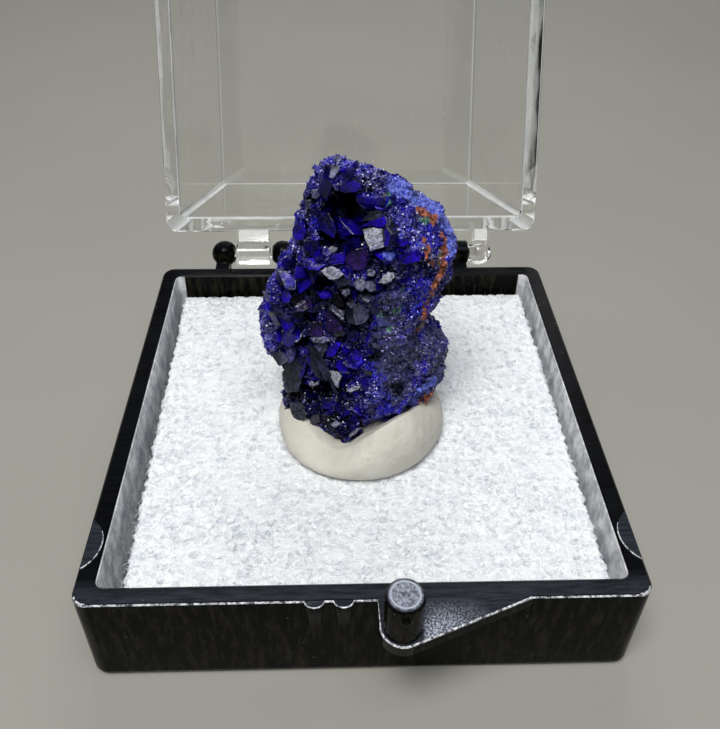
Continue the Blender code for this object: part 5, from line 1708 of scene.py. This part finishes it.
def foam_pad(material):
    """The foam's top as a grid of pitted cells, and its ragged cut sides."""
    low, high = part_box("foam_pad")
    columns = int((high.x - low.x) / MM / FOAM_STEP)
    rows = int((high.y - low.y) / MM / FOAM_STEP)
    x = np.linspace(low.x / MM, high.x / MM, columns)
    y = np.linspace(low.y / MM, high.y / MM, rows)
    across, deep = np.meshgrid(x, y)
    skew = FOAM_SKEW * (1.0 - (deep - y[0]) / (y[-1] - y[0])) * (1.0 - (across - x[0]) / (x[-1] - x[0])) ** 8
    across = across + skew
    edge = np.minimum.reduce((across - x[0] - skew, x[-1] - across, deep - y[0], y[-1] - deep))
    flat = np.stack((across.ravel(), deep.ravel(), np.zeros(across.size)), -1)
    ragged, rougher, waves = (wander(flat, size).reshape(across.shape) for size in FOAM_WAVES)
    pull = clipped(1.0 - edge / 1.2) ** 2 * FOAM_RAGGED
    centre = np.array((x.mean(), y.mean()))
    away = np.stack((across - centre[0], deep - centre[1]), -1)
    away /= np.maximum(np.abs(away).max(-1, keepdims=True), 1e-6)
    shift = pull * (0.5 + ragged + 0.6 * rougher)
    across = across - away[..., 0] * shift
    deep = deep - away[..., 1] * shift
    drop = foam_relief(flat).reshape(across.shape) + clipped(1.0 - edge / 0.7) ** 2 * 0.35
    level = high.z / MM - drop + 0.12 * waves - 0.06
    top = np.stack((across, deep, level), -1)
    border = [(0, c) for c in range(columns)] + [(r, columns - 1) for r in range(1, rows)]
    border += [(rows - 1, c) for c in range(columns - 2, -1, -1)] + [(r, 0) for r in range(rows - 2, 0, -1)]
    border = np.array(border)
    rim = top[border[:, 0], border[:, 1]]
    points = [top.reshape(-1, 3)]
    index = np.arange(rows * columns).reshape(rows, columns)
    quads = np.stack((index[:-1, :-1], index[:-1, 1:], index[1:, 1:], index[1:, :-1]), -1).reshape(-1, 4).tolist()
    last = index[border[:, 0], border[:, 1]]
    inward = unit(np.array((centre[0], centre[1], 0.0)) - rim * (1, 1, 0))
    for step in range(1, FOAM_EDGE_ROWS + 1):
        share = step / FOAM_EDGE_ROWS
        z = rim[:, 2] * (1 - share) + low.z / MM * share
        ring = np.stack((rim[:, 0], rim[:, 1], z), -1)
        ring = ring + inward * (0.35 * share + 0.25 * wander(ring, 0.6) + 0.1)[:, None] * (share < 1)
        start = sum(len(part) for part in points)
        points.append(ring)
        current = np.arange(start, start + len(ring))
        strip = np.stack((last, current, np.roll(current, -1), np.roll(last, -1)), -1)
        quads += strip.tolist()
        last = current
    quads.append(last[::-1].tolist())
    item = mesh_object("foam_cells", np.concatenate(points) * MM, quads, material, smooth=True)
    # How low each point lies in a pit, and a little on the cut sides, for the foam's painted shade
    low_down = np.concatenate((drop.ravel() / (FOAM_PIT + FOAM_SMALL_PIT), np.full(len(rim) * FOAM_EDGE_ROWS, 0.3)))
    lay_values(item, "low", clipped(low_down))
    belongs(item, "box", "white_foam", "foam_pad")


def foam_strands(material):
    """Thin curved strands of cell walls that lie over the foam and stick out at its cut edge."""
    rng = np.random.default_rng(STRAND_SEED)
    low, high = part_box("foam_pad")
    count = STRAND_COUNT
    margin = STRAND_LENGTH[1] / 2
    x = rng.uniform(low.x / MM + margin, high.x / MM - margin, count)
    y = rng.uniform(low.y / MM + margin, high.y / MM - margin, count)
    turn = rng.uniform(0.0, math.tau, count)
    length = rng.uniform(*STRAND_LENGTH, count)
    arch = rng.uniform(*STRAND_ARCH, count)
    bow = rng.uniform(-0.35, 0.35, count)
    thick = rng.uniform(*STRAND_THICK, count)
    share = np.linspace(-0.5, 0.5, STRAND_STEPS + 1)
    along = share[None] * length[:, None]
    aside = (0.25 - share[None] ** 2) * bow[:, None] * length[:, None] * 2.0
    rise = (1.0 - 4.0 * share[None] ** 2) * arch[:, None] - 0.10
    centre_x = x[:, None] + along * np.cos(turn)[:, None] - aside * np.sin(turn)[:, None]
    centre_y = y[:, None] + along * np.sin(turn)[:, None] + aside * np.cos(turn)[:, None]
    centre_z = high.z / MM - 0.16 + rise
    ring = []
    for corner in (0.5, 2.6, 4.7):
        side = np.cos(corner) * thick[:, None]
        up = np.sin(corner) * thick[:, None]
        ring.append(np.stack((centre_x - side * np.sin(turn)[:, None], centre_y + side * np.cos(turn)[:, None],
                              centre_z + up), -1))
    points = np.stack(ring, 2).reshape(-1, 3)
    points[:, 2] = np.minimum(points[:, 2], high.z / MM)
    faces = []
    for start in range(0, len(points), 3 * (STRAND_STEPS + 1)):
        for step in range(STRAND_STEPS):
            faces += band(start + step * 3, start + step * 3 + 3, 3)
        faces.append([start + 2, start + 1, start])
        last = start + 3 * STRAND_STEPS
        faces.append([last, last + 1, last + 2])
    item = mesh_object("foam_strands", points * MM, faces, material, smooth=True)
    belongs(item, "box", "white_foam")


def putty_lump(material):
    """The putty as a thumbed lump that swells up against the specimen."""
    low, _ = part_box("mineral_tack")
    angles = np.linspace(0.0, math.tau, PUTTY_AROUND, endpoint=False)
    climbs = np.radians(np.linspace(-PUTTY_UNDERCUT, 90.0, PUTTY_ROWS))
    angle, climb = np.meshgrid(angles, climbs)
    degrees, heights = np.array(PUTTY_HEIGHT).T
    turned = np.degrees((angle + math.pi) % math.tau - math.pi)
    tall = sum(np.interp((turned + shift + 180.0) % 360.0 - 180.0, degrees, heights) for shift in range(-12, 13, 4))
    tall = tall / 7.0
    spread = np.abs(np.cos(climb)) ** 0.62
    waist = PUTTY_WAIST * np.minimum(tall, 4.5)
    under = clipped((spread - 0.42) / 0.30)
    above = waist + (tall * (0.35 + 0.65 * under) - waist) * np.abs(np.sin(climb)) ** 0.92
    below = waist * (1.0 - np.abs(climb) / math.radians(PUTTY_UNDERCUT))
    x = PUTTY_CENTRE[0] + PUTTY_HALF[0] * spread * np.cos(angle)
    y = PUTTY_CENTRE[1] + PUTTY_HALF[1] * spread * np.sin(angle)
    z = low.z / MM - 0.1 + np.where(climb > 0, above, below)
    points = np.stack((x, y, z), -1)
    normals = grid_normals(points)
    flat = points.reshape(-1, 3)
    dents = (PUTTY_BROAD[0] * wander(flat, PUTTY_BROAD[1])
             + PUTTY_FINE[0] * wander(flat, PUTTY_FINE[1], (4.0, 2.0, 7.0))
             + PUTTY_RIDGES[0] * wander(flat / PUTTY_RIDGES[1], 1.0))
    held = clipped((climb.ravel() + math.radians(PUTTY_UNDERCUT)) / 0.25)
    flat = flat + normals.reshape(-1, 3) * (dents * held)[:, None]
    item = mesh_object("putty", flat * MM, grid_faces(PUTTY_ROWS, PUTTY_AROUND), material, smooth=True)
    belongs(item, "box", "cream_putty", "mineral_tack")


def rim_pads(material, painted_light):
    """The two thin round pads on the side rims, cut off by the box's sides, with a painted highlight on the lower
    edge.
    """
    centre_x, centre_y, radius, rise, limit = RIM_PAD
    turns = np.linspace(0.0, math.tau, PAD_STEPS, endpoint=False)
    points, faces = [], []
    for side in (-1, 1):
        rings = []
        for level, size in ((-0.05, radius), (rise * 0.5, radius), (rise, radius - rise * 0.5)):
            x = np.minimum(centre_x - size * np.cos(turns), limit)
            y = centre_y + size * np.sin(turns)
            inside = centre_x - radius * np.cos(turns) < limit
            rings.append(np.stack((side * x, y, np.full(len(x), RIM / MM + level)), -1)[inside])
        count = len(rings[0])
        start = len(points)
        points += np.concatenate(rings).tolist()
        for lower in (start, start + count):
            faces += [quad[::side * -1] for quad in band(lower, lower + count, count)]
        top = list(range(start + 2 * count, start + 3 * count))
        bottom = list(range(start, start + count))
        faces += [top, bottom[::-1]] if side < 0 else [top[::-1], bottom]
    item = mesh_object("rim_pads", np.array(points) * MM, faces, material)
    item.data.materials.append(painted_light)
    with opened(item.data) as bm:
        bmesh.ops.recalc_face_normals(bm, faces=bm.faces)
        for face in bm.faces:
            # The pads' edges, except at the back, take the painted highlight
            face.material_index = int(face.normal.y < 0.3 and face.normal.z < 0.95)
    belongs(item, "box", "black_plastic")


def sharp_corner(edge):
    """Whether an edge sticks out and is sharp."""
    return edge.is_convex and edge.calc_face_angle(0.0) > math.radians(SHARP_ANGLE)


def join_flat(bm):
    """Join faces that lie flat beside each other."""
    bmesh.ops.dissolve_limit(bm, angle_limit=math.radians(FLAT_ANGLE), verts=bm.verts, edges=bm.edges)


def bevelled(bm, edges, width, roundness=0.6, limited=True):
    """Round the edges a little."""
    bmesh.ops.bevel(bm, geom=edges, offset=width * MM, segments=2, profile=roundness, affect="EDGES",
                    clamp_overlap=limited)


def cut_front(bm, place, way):
    """Cut the faces at the front of the rim by a plane."""
    faces = [face for face in bm.faces
             if face.calc_center_median().y < HIGHLIGHT_FRONT and abs(face.normal.x) < 0.1]
    geometry = dict.fromkeys(part for face in faces for part in (face, *face.edges, *face.verts))
    bmesh.ops.bisect_plane(bm, geom=list(geometry), plane_co=place, plane_no=way, dist=0.001 * MM)


def cut_highlight_line(bm):
    """Cut the front of the rim beside each rib and along the line of painted highlight, so that the line can be told
    apart.
    """
    for x in RIB_SIDES:
        cut_front(bm, (x * MM, 0.0, 0.0), (1.0, 0.0, 0.0))
    for z in HIGHLIGHT_BAND:
        cut_front(bm, (0.0, 0.0, RIM + z * MM), (0.0, 0.0, 1.0))


def on_highlight_line(face):
    """Whether a face belongs to the line of painted highlight along the front edge of the base, its ribs and its
    tab.
    """
    middle = face.calc_center_median()
    if middle.y > HIGHLIGHT_FRONT or not RIM - HIGHLIGHT_DEPTH < middle.z < RIM + 0.02 * MM:
        return False
    if middle.y < -BOX_HALF - 0.02 * MM:
        return TAB_HIGHLIGHT_SLANT[0] < face.normal.z < TAB_HIGHLIGHT_SLANT[1]
    behind_rib = any(left * MM < middle.x < right * MM for left, right in (RIB_SIDES[:2], RIB_SIDES[2:]))
    in_band = HIGHLIGHT_BAND[0] * MM < middle.z - RIM < HIGHLIGHT_BAND[1] * MM
    slanted_front = RIM_SLANT[0] < face.normal.z < RIM_SLANT[1] and face.normal.y < -0.2
    return in_band and slanted_front and not behind_rib


def top_outline(bm, low, high, front):
    """Sharp edges between two levels that stand out in front of the box."""
    return [edge for edge in bm.edges if sharp_corner(edge)
            and all(low < vertex.co.z < high and vertex.co.y < -BOX_HALF + 0.3 * MM for vertex in edge.verts)
            and min(vertex.co.y for vertex in edge.verts) < front]


def soften_base(item, painted_light):
    """Round the base's long edges and its tab's edges a little; the front edge gets the painted highlight."""
    item.data.materials.append(painted_light)
    with opened(item.data) as bm:
        join_flat(bm)
        front = -BOX_HALF - 0.05 * MM
        bevelled(bm, top_outline(bm, RIM - 0.02 * MM, RIM + 0.02 * MM, front), TAB_BEVEL)
        bevelled(bm, top_outline(bm, RIM - 0.15 * MM, RIM - 0.10 * MM, front), RIB_BEVEL, limited=False)
        long_edges = [edge for edge in bm.edges if sharp_corner(edge) and edge.calc_length() > LONG_EDGE * MM]
        bevelled(bm, long_edges, BASE_BEVEL)
        cut_highlight_line(bm)
        for face in bm.faces:
            if on_highlight_line(face):
                face.material_index = 1


def frost_edges(item, material):
    """Bevel the lid's long edges and give all its narrow edge strips the frosted look."""
    item.data.materials.append(material)
    with opened(item.data) as bm:
        join_flat(bm)
        sharp = [edge for edge in bm.edges if edge.calc_length() > LID_EDGE_LENGTH * MM
                 and edge.calc_face_angle(0.0) > math.radians(CREASE_ANGLE)]
        bevelled(bm, sharp, LID_BEVEL, 0.5)
        for face in bm.faces:
            longest = max(edge.calc_length() for edge in face.edges)
            narrow = face.calc_area() / longest < LID_EDGE_WIDTH * MM
            face.material_index = int(longest > LID_EDGE_LENGTH * MM and narrow)


def moulded(node, name, slot, body, material, finish):
    """A moulded piece in its CAD shape with its finishing work, and soft-looking chamfers."""
    item = copy_of(node, name)
    item.data.materials.clear()
    item.data.materials.append(material)
    finish(item)
    item.data.shade_smooth()
    item.data.set_sharp_from_angle(angle=math.radians(CREASE_ANGLE))
    even = item.modifiers.new("even_normals", "WEIGHTED_NORMAL")
    even.keep_sharp = True
    belongs(item, body, slot, node)
    return item


def tabletop(material):
    """The pale surface that the box stands on."""
    points = [(x * TABLE_HALF, y * TABLE_HALF, FLOOR_LEVEL) for x, y in ((-1, -1), (1, -1), (1, 1), (-1, 1))]
    mesh_object("tabletop", points, [[0, 1, 2, 3]], material)


def build():
    """Make the whole scene."""
    bpy.context.scene.view_settings.view_transform = "Standard"
    make_lights()
    make_world()
    tabletop(pale_floor())
    black = black_plastic("black_plastic", 0.85, 0.1)
    painted_light = edge_painted_highlight()
    moulded("box_base", "black_base", "black_plastic", "box", black, lambda item: soften_base(item, painted_light))
    rim_pads(black_plastic("black_plastic_pad", 0.85, 0.85), painted_light)
    edge = frosted_edge()
    moulded("box_lid", "clear_lid", "clear_plastic", "lid", clear_plastic(), lambda item: frost_edges(item, edge))
    foam = white_foam()
    foam_pad(foam)
    foam_strands(foam)
    putty_lump(cream_putty())
    crust = azurite_crust("azurite_crust")
    blocks = azurite_blocks()
    shape, sunk = sink_hollows(body_shape())
    normals = grid_normals(shape)
    rough = azurite_body(crust, shape, sunk)
    tree = body_tree(shape)
    large_crystals(tree)
    grown_on_crystals(blocky_crystals(rough, normals, sunk, tree, blocks), crust)
    glints(rough, normals, sunk, azurite_glint())
    druse(rough, normals, sunk, crust)


build()
